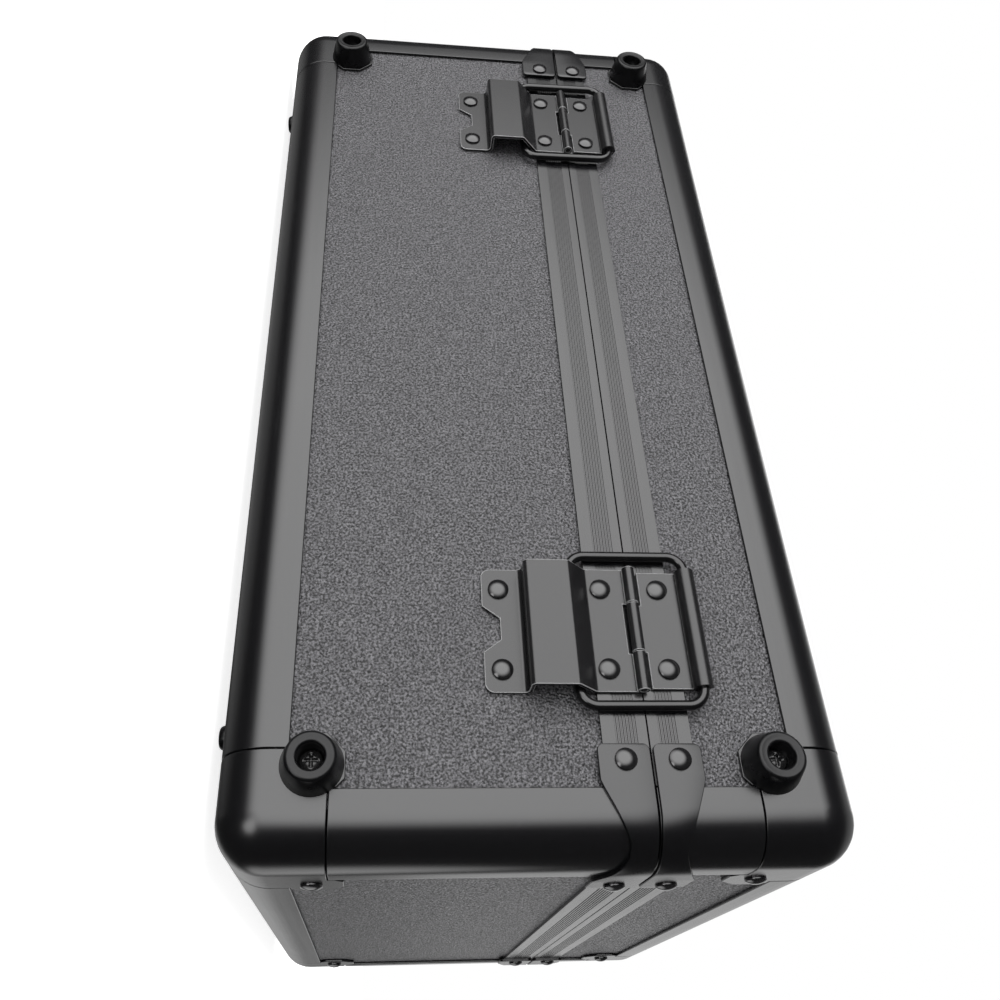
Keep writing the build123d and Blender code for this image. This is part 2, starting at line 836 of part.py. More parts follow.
with BuildPart() as handle_grip:
    with BuildLine(handle_plane) as bail_line:
        Polyline(
            (-handle_arm_x, -handle_pivot_drop),
            (-handle_arm_x, handle_low + handle_cut),
            (handle_cut - handle_arm_x, handle_low),
            (handle_arm_x - handle_cut, handle_low),
            (handle_arm_x, handle_low + handle_cut),
            (handle_arm_x, -handle_pivot_drop),
        )
    bail = bail_line.wire()
    with BuildSketch(Plane(origin=bail @ 0, x_dir=(1, 0, 0), z_dir=bail % 0)) as bar_section:
        Rectangle(handle_bar_width, handle_bar_depth)
        chamfer(bar_section.vertices(), handle_bar_round)
    sweep(path=bail, transition=Transition.RIGHT)
    add(grip_body.part)
    for x in (-handle_arm_x, handle_arm_x):
        with BuildSketch(bracket_side.offset(-handle_arm_x - x)):
            with Locations(handle_pivot):
                RegularPolygon(handle_eye_radius, pivot_sides)
        extrude(amount=handle_bar_width / 2, both=True)
        with BuildSketch(bracket_side.offset(-handle_arm_x - x)):
            with Locations(handle_pivot):
                add(round_bore(handle_pin_radius + handle_clearance))
        extrude(amount=handle_bar_width / 2, both=True, mode=Mode.SUBTRACT)
keep("handle_grip", handle_grip.part)


# Rivet heads, in one group for each half


def rivet_heads(face, places, level):
    """Low six-sided rivet heads on a face, standing on a sheet whose top is at the level."""
    heads = []
    for x, y in places:
        with BuildPart() as head:
            with BuildSketch(face.offset(level)):
                with Locations((x, y)):
                    RegularPolygon(rivet_radius, rivet_sides)
            extrude(amount=rivet_height)
        heads.append(head.part)
    return heads


def both_ways(x, y):
    """A place and its mirror image across the middle of a face."""
    return [(-x, y), (x, y)]


hinge_rivet = hinge_rivet_spacing / 2
hinge_rivet_columns = [hinge_x - hinge_rivet, hinge_x + hinge_rivet]
corner_x = case_length / 2 - fastener_inset
corner_y = case_depth / 2 - fastener_inset
corner_low = z_bottom + fastener_inset - z_split
corner_high = z_top - fastener_inset - z_split

base_heads = []
lid_heads = []
for column in hinge_rivet_columns:
    base_heads += rivet_heads(back_face, both_ways(column, -flange_rivet_drop), flange_out)
    base_heads += rivet_heads(back_face, both_ways(column, -leaf_rivet_drop), hinge_sheet)
    lid_heads += rivet_heads(back_face, both_ways(column, lid_leaf_rivet_rise), hinge_sheet)
for side, (face, length) in upright_faces.items():
    post = length / 2 - bracket_rivet_inset
    corner = length / 2 - fastener_inset
    base_heads += rivet_heads(face, both_ways(post, -bracket_rivet_drop), bracket_sheet)
    lid_heads += rivet_heads(face, both_ways(post, bracket_rivet_drop), bracket_sheet)
    if side != "back":
        base_heads += rivet_heads(face, both_ways(corner, corner_low), 0)
        lid_heads += rivet_heads(face, both_ways(corner, corner_high), 0)
for y in (-corner_y, corner_y):
    base_heads += rivet_heads(bottom_face, both_ways(corner_x, y), 0)
    lid_heads += rivet_heads(top_face, both_ways(corner_x, y), 0)
latch_middle = -(latch_top + latch_bottom) / 2
for column in (latch_x - latch_rivet_x, latch_x + latch_rivet_x):
    for z in (latch_middle - latch_rivet_z, latch_middle + latch_rivet_z):
        base_heads += rivet_heads(front_face, both_ways(column, z), 0)
for column in (latch_x - strike_rivet_x, latch_x + strike_rivet_x):
    lid_heads += rivet_heads(front_face, both_ways(column, strike_middle), latch_sheet)
for column in (handle_arm_x - bracket_plate_rivet, handle_arm_x + bracket_plate_rivet):
    base_heads += rivet_heads(front_face, both_ways(column, -handle_pivot_drop), plate_out)
keep("base_rivets", Compound(children=base_heads))
keep("lid_rivets", Compound(children=lid_heads))


# Rubber feet with their screws on the back, and low studs under the bottom

foot_taper = degrees(atan((foot_radius - foot_rim_radius) / foot_height))
stud_taper = degrees(atan((stud_radius - stud_face) / (skin + stud_height)))
back_places = both_ways(corner_x, 0)
for half, height in (("base", corner_low), ("lid", corner_high)):
    feet, screws = [], []
    for x, y in back_places:
        with BuildPart() as foot:
            with BuildSketch(back_face):
                with Locations((x, height)):
                    RegularPolygon(foot_radius, foot_sides)
            extrude(amount=foot_height, taper=foot_taper)
            with BuildSketch(back_face.offset(foot_floor)):
                with Locations((x, height)):
                    RegularPolygon(foot_hole, foot_sides)
            extrude(amount=foot_height, mode=Mode.SUBTRACT)
        feet.append(foot.part)
        with BuildPart() as screw:
            with BuildSketch(back_face.offset(foot_floor)):
                with Locations((x, height)):
                    RegularPolygon(screw_radius, rivet_sides)
            extrude(amount=screw_head)
        screws.append(screw.part)
    keep(f"{half}_back_feet", Compound(children=feet))
    keep(f"{half}_foot_screws", Compound(children=screws))

studs = []
for x in (-(x_half - stud_inset_x), x_half - stud_inset_x):
    for y in (-(case_depth / 2 - stud_inset_y), case_depth / 2 - stud_inset_y):
        with BuildPart() as stud:
            with BuildSketch(bottom_face.offset(-skin)):
                with Locations((x, y)):
                    RegularPolygon(stud_radius, foot_sides)
            extrude(amount=skin + stud_height, taper=stud_taper)
        studs.append(stud.part)
keep("bottom_studs", Compound(children=studs))


# Foam: floor pad and slab rows in the base, pad in the lid


def foam_block(low, high, round_level):
    """A foam block that fills the inside between two heights, cut at its corners like the walls."""
    gap = 2 * (wall + foam_slack)
    with BuildPart() as block:
        with BuildSketch(Plane(origin=(0, y_mid, low))):
            outline = Rectangle(case_length - gap, case_depth - gap)
            chamfer(outline.vertices(), foam_edge)
        extrude(amount=high - low)
        if round_level is not None:
            chamfer(block.faces().sort_by(Axis.Z)[round_level].edges(), foam_edge)
    return block.part


foam_bottom = z_bottom + wall + foam_slack
rows_bottom = foam_bottom + foam_floor + foam_slack
keep("base_foam_floor", foam_block(foam_bottom, foam_bottom + foam_floor, 0))
foam_length = case_length - 2 * (wall + foam_slack)
foam_depth = case_depth - 2 * (wall + foam_slack)
row_width = (foam_length - (row_count + 1) * row_wall) / row_count
row_pitch = row_width + row_wall
with BuildPart() as foam_rows:
    add(foam_block(rows_bottom, base_low - foam_top_drop, None))
    with BuildSketch(Plane(origin=(0, y_mid, rows_bottom))):
        with GridLocations(row_pitch, 0, row_count, 1):
            Rectangle(row_width, foam_depth - 2 * row_wall)
    extrude(amount=base_height, mode=Mode.SUBTRACT)
keep("base_foam_rows", foam_rows.part)
foam_top = z_top - wall - foam_slack
keep("lid_foam_pad", foam_block(foam_top - lid_pad_thickness, foam_top, -1))

os.makedirs("parts", exist_ok=True)
for node, piece in finished.items():
    export_step(piece, f"parts/{node}.step")
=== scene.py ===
import json
from functools import partial
from math import cos, radians

import bmesh
import bpy
import numpy as np
from bpy.props import FloatProperty, FloatVectorProperty, IntProperty, PointerProperty
from mathutils import Matrix, Quaternion, Vector


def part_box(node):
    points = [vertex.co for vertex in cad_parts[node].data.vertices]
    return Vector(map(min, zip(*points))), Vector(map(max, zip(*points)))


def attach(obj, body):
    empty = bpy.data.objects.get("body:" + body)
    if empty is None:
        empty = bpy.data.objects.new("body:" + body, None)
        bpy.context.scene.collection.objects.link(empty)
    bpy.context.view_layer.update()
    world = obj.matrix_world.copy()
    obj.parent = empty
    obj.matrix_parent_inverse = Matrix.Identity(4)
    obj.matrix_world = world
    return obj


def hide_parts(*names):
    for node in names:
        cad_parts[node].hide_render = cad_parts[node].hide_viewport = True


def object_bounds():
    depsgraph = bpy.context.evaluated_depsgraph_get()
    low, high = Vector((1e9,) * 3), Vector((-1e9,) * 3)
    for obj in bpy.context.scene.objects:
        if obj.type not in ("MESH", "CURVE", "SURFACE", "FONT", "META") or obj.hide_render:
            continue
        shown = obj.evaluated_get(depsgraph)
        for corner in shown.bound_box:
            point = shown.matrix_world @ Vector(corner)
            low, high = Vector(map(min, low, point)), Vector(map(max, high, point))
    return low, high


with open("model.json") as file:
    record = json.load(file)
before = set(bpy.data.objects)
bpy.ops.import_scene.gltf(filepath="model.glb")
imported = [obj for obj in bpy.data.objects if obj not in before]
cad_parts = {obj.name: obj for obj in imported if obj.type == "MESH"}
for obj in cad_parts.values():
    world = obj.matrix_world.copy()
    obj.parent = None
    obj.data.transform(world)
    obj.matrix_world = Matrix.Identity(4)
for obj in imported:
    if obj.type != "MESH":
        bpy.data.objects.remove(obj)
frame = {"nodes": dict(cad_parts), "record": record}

bl_info = {
    "name": "Card case",
    "version": (1, 0, 0),
    "blender": (4, 5, 0),
    "location": "3D View > Sidebar > Card case",
    "description": "Dresses the hard case for graded cards with its finishes and small parts",
    "category": "Object",
}

MM = 0.001
cad_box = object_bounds()
middle = np.array((cad_box[0] + cad_box[1]) / 2)
body_of_node = {
    node: body for body, nodes in frame["record"]["behaviour"]["bodies"].items() for node in nodes
}
HALVES = ("base", "lid")
UPRIGHT_SIDES = ("front", "back", "left", "right")
WHITE = (1.0, 1.0, 1.0, 1.0)
# Angles between faces, in degrees: up to the first they are one face, from the second on rounded.
FLAT_WITHIN = 0.6
ROUNDED_FROM = 34
# Roundings of edges that the sizes below leave alone.
RIB_ROUNDING = 0.07 * MM
PLUG_ROUNDING = 0.15 * MM
HANDLE_BRACKET_ROUNDING = 0.35 * MM
FOAM_ROUNDING = 0.9 * MM
# The split brackets' sheet, their bend round the post, the rounding of their tips and of their
# edges, their height at the corner, and how far from it their height starts and stops to grow.
BRACKET_SHEET = 1.2 * MM
BRACKET_BEND = 15.0 * MM
BRACKET_TIP = 2.0 * MM
BRACKET_RIM = 0.28 * MM
BRACKET_WAIST = 8.0 * MM
BRACKET_TAPER = (6.0 * MM, 22.4 * MM)
# The curls' outer and inner face from the ring wire, and their reach past the leaf at each end.
CURL_GAPS = (1.46 * MM, 0.08 * MM)
CURL_OVERLAP = 0.03 * MM
# Shares of the frame's rivets: the drawn head's width, and its straight rim's height.
RIVET_WIDTH = 0.985
RIVET_RIM = 0.42
# The floor of the feet's screw holes, above the case.
SCREW_SEAT = 2.6 * MM
# The reflected tent's radius in metres and its cloth's brightness.
TENT_RADIUS = 2.5
TENT_CLOTH = 0.06
# Each opening's direction, the angles where it is full and where it ends, and its brightness.
TENT_OPENINGS = (
    ((0.27, 0.96, 0.05), 24.0, 48.0, 4.25),
    ((-0.35, 0.78, -0.52), 6.0, 16.0, 4.5),
    ((-0.75, -0.62, -0.10), 8.0, 20.0, 1.6),
    ((0.62, -0.30, -0.72), 18.0, 36.0, 0.26),
    ((-0.17, -0.90, -0.40), 8.0, 27.0, 0.66),
    ((-0.17, -0.91, 0.38), 14.0, 27.0, 0.80),
    ((0.55, -0.62, 0.56), 16.0, 32.0, 3.2),
    ((-0.03, -0.40, 0.92), 14.0, 34.0, 0.35),
)


# Sizes and colours that a user would change


class CardCaseSizes(bpy.types.PropertyGroup):
    """Sizes of the pieces that are drawn here and not in the frame"""

    wire_radius: FloatProperty(
        name="Stay ring wire", description="Radius of the stay rings' wire",
        default=1.6 * MM, min=0.5 * MM, unit="LENGTH",
    )
    ring_bend: FloatProperty(
        name="Stay ring bend",
        description="Radius of the wire's centre line round a ring's corners",
        default=5.4 * MM, min=2 * MM, unit="LENGTH",
    )
    rivet_crown: FloatProperty(
        name="Rivet crown",
        description="How round a rivet head is: 1 is a cone, 2 a dome and 3 flat-topped",
        default=2.1, min=1.0, max=4.0,
    )
    foot_rounding: FloatProperty(
        name="Foot rounding", description="Radius of a rubber foot's upper rim",
        default=1.3 * MM, min=0.2 * MM, unit="LENGTH",
    )
    sheet_rounding: FloatProperty(
        name="Sheet rounding", description="Rounding of the stamped sheets' cut edges",
        default=0.22 * MM, min=0.02 * MM, unit="LENGTH",
    )
    moulding_rounding: FloatProperty(
        name="Moulding rounding", description="Rounding of the moulded pieces' edges",
        default=0.32 * MM, min=0.02 * MM, unit="LENGTH",
    )
    grip_sides: IntProperty(
        name="Grip sides", description="Points round the handle's section",
        default=32, min=12, max=96,
    )


class CardCaseColours(bpy.types.PropertyGroup):
    """Colours and grain of the finishes"""

    board: FloatVectorProperty(
        name="Board skin", description="Colour of the pebbled board skin",
        default=(0.058, 0.057, 0.061), subtype="COLOR", min=0, max=1,
    )
    extrusion: FloatVectorProperty(
        name="Extrusion", description="Colour of the edge extrusions and closing frames",
        default=(0.0045, 0.0045, 0.0052), subtype="COLOR", min=0, max=1,
    )
    moulding: FloatVectorProperty(
        name="Moulding", description="Colour of the moulded corner pieces",
        default=(0.0035, 0.0035, 0.0042), subtype="COLOR", min=0, max=1,
    )
    hardware: FloatVectorProperty(
        name="Hardware", description="Colour of the blacked steel hinges and latches",
        default=(0.010, 0.0098, 0.0105), subtype="COLOR", min=0, max=1,
    )
    # The hinges' rounded cut edges take this light grey: partly bare steel, partly a painted
    # highlight along the edges.
    wear_and_highlight: FloatVectorProperty(
        name="Bare edge and painted highlight", description="Colour of the hinges' cut edges",
        default=(0.34, 0.34, 0.345), subtype="COLOR", min=0, max=1,
    )
    foam: FloatVectorProperty(
        name="Foam", description="Colour of the foam inside",
        default=(0.022, 0.022, 0.024), subtype="COLOR", min=0, max=1,
    )
    pebble: FloatProperty(
        name="Pebble size", description="Size of one pebble of the board skin's grain",
        default=0.78 * MM, min=0.2 * MM, unit="LENGTH",
    )


# Surfaces worked out as whole arrays


def linked(name, data):
    """A new object at the origin that shows a mesh, a lamp or a camera."""
    made = bpy.data.objects.new(name, data)
    bpy.context.scene.collection.objects.link(made)
    return made


def lattice_quads(count, rows, columns, close_rows=False):
    """Quads of count grids of rows by columns points, each joined to its neighbours in both
    directions, round to the first column, and round to the first row if close_rows."""
    row, column = np.meshgrid(
        np.arange(rows if close_rows else rows - 1), np.arange(columns), indexing="ij"
    )
    next_row, next_column = (row + 1) % rows, (column + 1) % columns
    quads = np.stack(
        [
            row * columns + column,
            row * columns + next_column,
            next_row * columns + next_column,
            next_row * columns + column,
        ],
        axis=-1,
    ).reshape(-1, 4)
    starts = np.arange(count)[:, None, None] * rows * columns
    return (quads + starts).reshape(-1, 4)


def smooth_mesh(name, points, faces, clean):
    """A smoothly shaded mesh from arrays of points and faces, once clean has worked on it."""
    mesh = bpy.data.meshes.new(name)
    mesh.from_pydata(points.tolist(), [], faces.tolist())
    work = bmesh.new()
    work.from_mesh(mesh)
    clean(work)
    work.to_mesh(mesh)
    work.free()
    mesh.polygons.foreach_set("use_smooth", np.ones(len(mesh.polygons), dtype=bool))
    return mesh


def placed_piece(name, mesh, material, body, nodes):
    """An object from a mesh, with its finish, on its body and in place of the frame's nodes."""
    mesh.materials.append(material)
    piece = linked(name, mesh)
    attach(piece, body)
    if nodes:
        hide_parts(*nodes)
    return piece


def piece_from_surface(name, points, material, body, nodes, close_rows=False, sharp=None):
    """An object from an array of grids by rows by columns points. Points that coincide, as at a
    pole, are joined and the faces are turned outwards. Edges over sharp degrees are split."""

    def clean(work):
        bmesh.ops.remove_doubles(work, verts=work.verts, dist=1e-7)
        bmesh.ops.recalc_face_normals(work, faces=work.faces)

    quads = lattice_quads(*points.shape[:3], close_rows)
    mesh = smooth_mesh(name, points.reshape(-1, 3), quads, clean)
    piece = placed_piece(name, mesh, material, body, nodes)
    if sharp:
        split = piece.modifiers.new("Ends", "EDGE_SPLIT")
        split.split_angle = radians(sharp)
    return piece


def seated_piece(name, foot, frames, shape, material, body, nodes):
    """An object with a copy of a shape on each seat: foot + frame times each point."""
    points = foot[:, None, None, :] + np.einsum("nij,rcj->nrci", frames, shape)
    return piece_from_surface(name, points, material, body, nodes)


def closed_ends(rows):
    """Rows of points with one more at each end, which lies wholly at the end row's middle."""
    ends = rows[..., [0, -1], :, :].mean(axis=-2, keepdims=True)
    ends = np.broadcast_to(ends, (*ends.shape[:-2], *rows.shape[-2:]))
    return np.concatenate([ends[..., :1, :, :], rows, ends[..., 1:, :, :]], axis=-3)


def turned_profile(radii, heights, sides):
    """A profile of radius against height turned round the local z axis: x = r cos a, y = r sin a,
    z = h, for sides angles a."""
    radii, heights = np.hstack(radii)[:, None], np.hstack(heights)[:, None]
    angle = np.linspace(0, 2 * np.pi, sides, endpoint=False)
    x = radii * np.cos(angle)
    return np.stack([x, radii * np.sin(angle), np.broadcast_to(heights, x.shape)], axis=-1)


def arc_points(centre, radius, start, stop, count):
    """Points of an arc from angle start to stop, in degrees: centre + radius (cos a, sin a)."""
    angle = np.radians(np.linspace(start, stop, count))
    return centre[0] + radius * np.cos(angle), centre[1] + radius * np.sin(angle)


def rounded_loop(width, reach, bend, steps):
    """A closed rectangle of width and reach with corners of radius bend, from x = 0 at its middle
    and y = 0 down to -reach: each corner is a quarter circle, joined by straight runs. Returns
    its points and its outward directions in its own plane."""
    turn = np.linspace(0, np.pi / 2, steps) + np.arange(4)[:, None] * np.pi / 2
    outward = np.stack([np.cos(turn), np.sin(turn)], axis=-1).reshape(-1, 2)
    across, down = width / 2 - bend, bend - reach
    centres = np.array([(across, -bend), (-across, -bend), (-across, down), (across, down)])
    return np.repeat(centres, steps, axis=0) + bend * outward, outward


def frames_along(axis, sign):
    """For outward directions given as an axis number and a sign, the three unit vectors of a
    right-handed frame with the last one outward, as the columns of one matrix each."""
    outward = np.eye(3)[axis] * sign[:, None]
    first = np.eye(3)[(axis + 1) % 3]
    return np.stack([first, np.cross(outward, first), outward], axis=-1)


# The frame's own meshes, read back as joined surfaces


def joined_mesh(node):
    """A node's points with coinciding ones joined, and its triangles without empty ones."""
    mesh = frame["nodes"][node].data
    points = np.empty(len(mesh.vertices) * 3, dtype=np.float32)
    mesh.vertices.foreach_get("co", points)
    points = points.reshape(-1, 3)
    mesh.calc_loop_triangles()
    triangles = np.empty(len(mesh.loop_triangles) * 3, dtype=np.int32)
    mesh.loop_triangles.foreach_get("vertices", triangles)
    keys = np.round(points * 1e6).astype(np.int64)
    _, first, joined = np.unique(keys, axis=0, return_index=True, return_inverse=True)
    triangles = joined.reshape(-1)[triangles].reshape(-1, 3)
    a, b, c = triangles.T
    triangles = triangles[(a != b) & (b != c) & (c != a)]
    return points[first].astype(float), triangles


def solid_boxes(node):
    """The lowest and highest corners of each separate solid of a node, by spreading the lowest
    point number over every triangle until nothing changes."""
    points, triangles = joined_mesh(node)
    label = np.arange(len(points))
    while True:
        spread = label.copy()
        np.minimum.at(spread, triangles.ravel(), np.repeat(label[triangles].min(axis=1), 3))
        if np.array_equal(spread, label):
            break
        label = spread
    groups = np.unique(label[triangles.ravel()])
    owner = np.searchsorted(groups, label)
    used = np.isin(label, groups)
    low = np.full((len(groups), 3), np.inf)
    high = np.full((len(groups), 3), -np.inf)
    np.minimum.at(low, owner[used], points[used])
    np.maximum.at(high, owner[used], points[used])
    return low, high


def seats(node):
    """For each solid of a node that stands on a face of the case: the middle of its foot, the
    frame whose last direction points away from the case, and its size."""
    low, high = solid_boxes(node)
    centre = (low + high) / 2
    axis = np.argmin(high - low, axis=1)
    rows = np.arange(len(axis))
    sign = np.sign(centre[rows, axis] - middle[axis])
    foot = centre.copy()
    foot[rows, axis] = np.where(sign > 0, low[rows, axis], high[rows, axis])
    return foot, frames_along(axis, sign), high - low


def softened(node, width, material, segments=2, edge_material=None):
    """The node's own shape with its sharp edges rounded to width, its flat faces kept flat. The
    rounded edges take their own finish if there is one."""

    def clean(work):
        bmesh.ops.dissolve_limit(
            work, angle_limit=radians(FLAT_WITHIN), verts=work.verts, edges=work.edges,
            use_dissolve_boundaries=False,
        )

    name = f"{node}_finish"
    mesh = smooth_mesh(name, *joined_mesh(node), clean)
    piece = placed_piece(name, mesh, material, body_of_node[node], [node])
    rounding = piece.modifiers.new("Rounded edges", "BEVEL")
    rounding.width = width
    rounding.segments = segments
    rounding.limit_method = "ANGLE"
    rounding.angle_limit = radians(ROUNDED_FROM)
    rounding.use_clamp_overlap = False
    if edge_material:
        piece.data.materials.append(edge_material)
        rounding.material = 1
    shading = piece.modifiers.new("Flat faces stay flat", "WEIGHTED_NORMAL")
    shading.keep_sharp = False
    shading.weight = 50
    return piece


# Shared effects: each lays out a node group from its input sockets and returns its outputs


def feed(tree, made, values):
    """Sets a node's inputs to constants, or links them to sockets. A node stands for its first
    output."""
    for key, value in values.items():
        if isinstance(value, bpy.types.Node):
            value = value.outputs[0]
        if isinstance(value, bpy.types.NodeSocket):
            tree.links.new(value, made.inputs[key])
        else:
            made.inputs[key].default_value = value


def node(tree, kind, values=None, **settings):
    """A shader node with its settings and its inputs."""
    made = tree.nodes.new(kind)
    for key, value in settings.items():
        setattr(made, key, value)
    feed(tree, made, values or {})
    return made


def noise(tree, vector, scale, detail, **more):
    """A noise texture, which stands for its value from 0 to 1."""
    return node(
        tree, "ShaderNodeTexNoise", {"Vector": vector, "Scale": scale, "Detail": detail, **more}
    )


def levels(tree, value, low, high):
    """A value that goes from 0 to 1 as another goes from low to high."""
    return node(tree, "ShaderNodeMapRange", {"Value": value, "From Min": low, "From Max": high})


def maths(tree, operation, *values):
    """A calculation on numbers, sockets or both."""
    return node(tree, "ShaderNodeMath", dict(enumerate(values)), operation=operation)


def pebble_grain(tree, given):
    """Rounded pebbles with fine creases between them, and lighter flecks."""
    vector, scale = given["Vector"], given["Pebbles per metre"]
    cells = node(
        tree, "ShaderNodeTexVoronoi",
        {"Vector": vector, "Scale": scale, "Smoothness": given["Roundness"]},
        feature="SMOOTH_F1",
    )
    crease = noise(tree, vector, maths(tree, "MULTIPLY", scale, 1.7), 2.0, Roughness=0.6)
    dome = maths(tree, "SUBTRACT", 1.0, cells)
    height = maths(tree, "MULTIPLY_ADD", crease, 0.55, dome)
    return height, levels(tree, noise(tree, vector, scale, 1.0), 0.38, 0.66)


def drawn_lines(tree, given):
    """Fine lines left by the die, along whichever direction the vector is stretched in."""
    return (noise(tree, given["Vector"], given["Lines per metre"], 3.0, Roughness=0.65),)


def handling(tree, given):
    """Broad faint smudges and sparse short scuffs, both from 0 to 1."""
    broad = noise(tree, given["Vector"], given["Size"], 4.0, Roughness=0.6, Distortion=0.6)
    longer = node(
        tree, "ShaderNodeMapping", {"Vector": given["Vector"], "Scale": (9.0, 130.0, 60.0)}
    )
    return levels(tree, broad, 0.35, 0.7), levels(tree, noise(tree, longer, 6.0, 2.0), 0.66, 0.78)


def foam_cells(tree, given):
    """Small open cells of sponge foam and its faint mottling."""
    vector = given["Vector"]
    grid = {"Vector": vector, "Scale": given["Cells per metre"]}
    cells = node(tree, "ShaderNodeTexVoronoi", grid, feature="F1")
    return cells, noise(tree, vector, 160.0, 4.0)


# Each effect's layout, its values with their defaults, and its outputs
EFFECTS = {
    "Pebble grain": (
        pebble_grain, {"Pebbles per metre": 900.0, "Roundness": 0.4}, ("Height", "Fleck"),
    ),
    "Drawn lines": (drawn_lines, {"Lines per metre": 1500.0}, ("Lines",)),
    "Handling": (handling, {"Size": 22.0}, ("Smudge", "Scuff")),
    "Foam cells": (foam_cells, {"Cells per metre": 1300.0}, ("Height", "Mottle")),
}


def grouped(tree, name, vector, *values):
    """The outputs of an effect in a material, with the material's own vector and values. The
    effect's node group is built once."""
    build, defaults, outputs = EFFECTS[name]
    if name not in bpy.data.node_groups:
        group = bpy.data.node_groups.new(name, "ShaderNodeTree")
        socket = partial(group.interface.new_socket, socket_type="NodeSocketFloat")
        group.interface.new_socket(name="Vector", in_out="INPUT", socket_type="NodeSocketVector")
        for label, default in defaults.items():
            socket(name=label, in_out="INPUT").default_value = default
        for label in outputs:
            socket(name=label, in_out="OUTPUT")
        made = build(group, group.nodes.new("NodeGroupInput").outputs)
        feed(group, group.nodes.new("NodeGroupOutput"), dict(zip(outputs, made)))
    return node(
        tree, "ShaderNodeGroup", {"Vector": vector, **dict(zip(defaults, values))},
        node_tree=bpy.data.node_groups[name],
    ).outputs


# Finishes, one material for each


def finish(name):
    """A new material, its node tree, its shader and the object's own coordinates."""
    material = bpy.data.materials.new(name)
    material.use_nodes = True
    tree = material.node_tree
    place = node(tree, "ShaderNodeTexCoord").outputs["Object"]
    return material, tree, tree.nodes["Principled BSDF"], place


def blended(tree, amount, first, second):
    """A colour between two others by an amount."""
    mix = node(tree, "ShaderNodeMix", {"Factor": amount}, data_type="RGBA")
    for key, value in (("A", first), ("B", second)):
        socket = next(s for s in mix.inputs if s.name == key and s.type == "RGBA")
        if isinstance(value, bpy.types.NodeSocket):
            tree.links.new(value, socket)
        else:
            socket.default_value = (*value, 1.0)
    return next(s for s in mix.outputs if s.type == "RGBA")


def ranged(tree, amount, low, high):
    """A value that goes from low to high as the amount goes from 0 to 1."""
    return node(tree, "ShaderNodeMapRange", {"Value": amount, "To Min": low, "To Max": high})


def bumped(tree, height, distance, strength, **under):
    """A normal that leans with a height, distance being its depth in metres. Under it lies the
    surface's own normal or another bump."""
    values = {"Height": height, "Distance": distance, "Strength": strength, **under}
    return node(tree, "ShaderNodeBump", values)


def tinted(colour, factor):
    """A colour made lighter or darker by a factor."""
    return tuple(min(1.0, channel * factor) for channel in colour)


def board_skin(colours):
    """Pebbled vinyl on board: charcoal pebbles with a soft gloss and darker creases."""
    material, tree, shader, place = finish("Pebbled board skin")
    grain = grouped(tree, "Pebble grain", place, 1 / colours.pebble, 0.3)
    marks = grouped(tree, "Handling", place, 9.0)
    base = blended(tree, grain["Fleck"], tinted(colours.board, 0.1), tinted(colours.board, 2.7))
    smudge = ranged(tree, marks["Smudge"], 0.0, 0.12)
    feed(tree, shader, {
        "Base Color": blended(tree, smudge, base, tinted(colours.board, 1.5)),
        "Roughness": ranged(tree, grain["Fleck"], 0.5, 0.27),
        "Normal": bumped(tree, grain["Height"], 0.42 * MM, 1.0),
        "IOR": 1.5,
    })
    return material


def extrusion_finish(name, colour, stretch):
    """Satin black anodised section with fine drawn lines along one direction."""
    material, tree, shader, place = finish(name)
    along = node(tree, "ShaderNodeMapping", {"Vector": place, "Scale": stretch})
    lines = grouped(tree, "Drawn lines", along, 900.0)["Lines"]
    marks = grouped(tree, "Handling", place, 16.0)
    base = blended(tree, lines, tinted(colour, 0.8), tinted(colour, 1.25))
    scuff = ranged(tree, marks["Scuff"], 0.0, 0.1)
    drawn, wear_and_highlight = ranged(tree, lines, -0.04, 0.04), ranged(tree, marks["Smudge"], 0.23, 0.25)
    feed(tree, shader, {
        "Base Color": blended(tree, scuff, base, (0.05, 0.05, 0.052)),
        "Roughness": maths(tree, "ADD", drawn, wear_and_highlight),
        "Normal": bumped(tree, lines, 0.01 * MM, 0.5),
        "IOR": 1.57,
    })
    return material


def moulding_finish(name, colour, roughness, grain_depth, sink_depth, gloss=1.58):
    """Moulded plastic with a very fine grain and the faint waviness of sink marks."""
    material, tree, shader, place = finish(name)
    grain = grouped(tree, "Pebble grain", place, 3200.0, 0.5)
    smudge = grouped(tree, "Handling", place, 26.0)["Smudge"]
    waves = bumped(tree, noise(tree, place, 75.0, 1.0), sink_depth, 1.0)
    feed(tree, shader, {
        "Base Color": blended(tree, grain["Fleck"], tinted(colour, 0.85), tinted(colour, 1.2)),
        "Roughness": ranged(tree, smudge, roughness - 0.01, roughness + 0.015),
        "Normal": bumped(tree, grain["Height"], grain_depth, 0.5, Normal=waves),
        "IOR": gloss,
    })
    return material


def hardware_finish(name, colour, roughness, gloss=1.5):
    """Blacked steel: dark plating with a clear gloss, mottled a little and scuffed in places."""
    material, tree, shader, place = finish(name)
    marks = grouped(tree, "Handling", place, 60.0)
    lines = grouped(tree, "Drawn lines", place, 420.0)["Lines"]
    base = blended(tree, marks["Smudge"], tinted(colour, 0.95), tinted(colour, 1.1))
    scuff = ranged(tree, marks["Scuff"], 0.0, 0.05)
    feed(tree, shader, {
        "Base Color": blended(tree, scuff, base, (0.07, 0.07, 0.075)),
        "Roughness": ranged(tree, marks["Smudge"], roughness - 0.008, roughness + 0.008),
        "Normal": bumped(tree, lines, 0.004 * MM, 0.3),
        "IOR": gloss,
    })
    return material


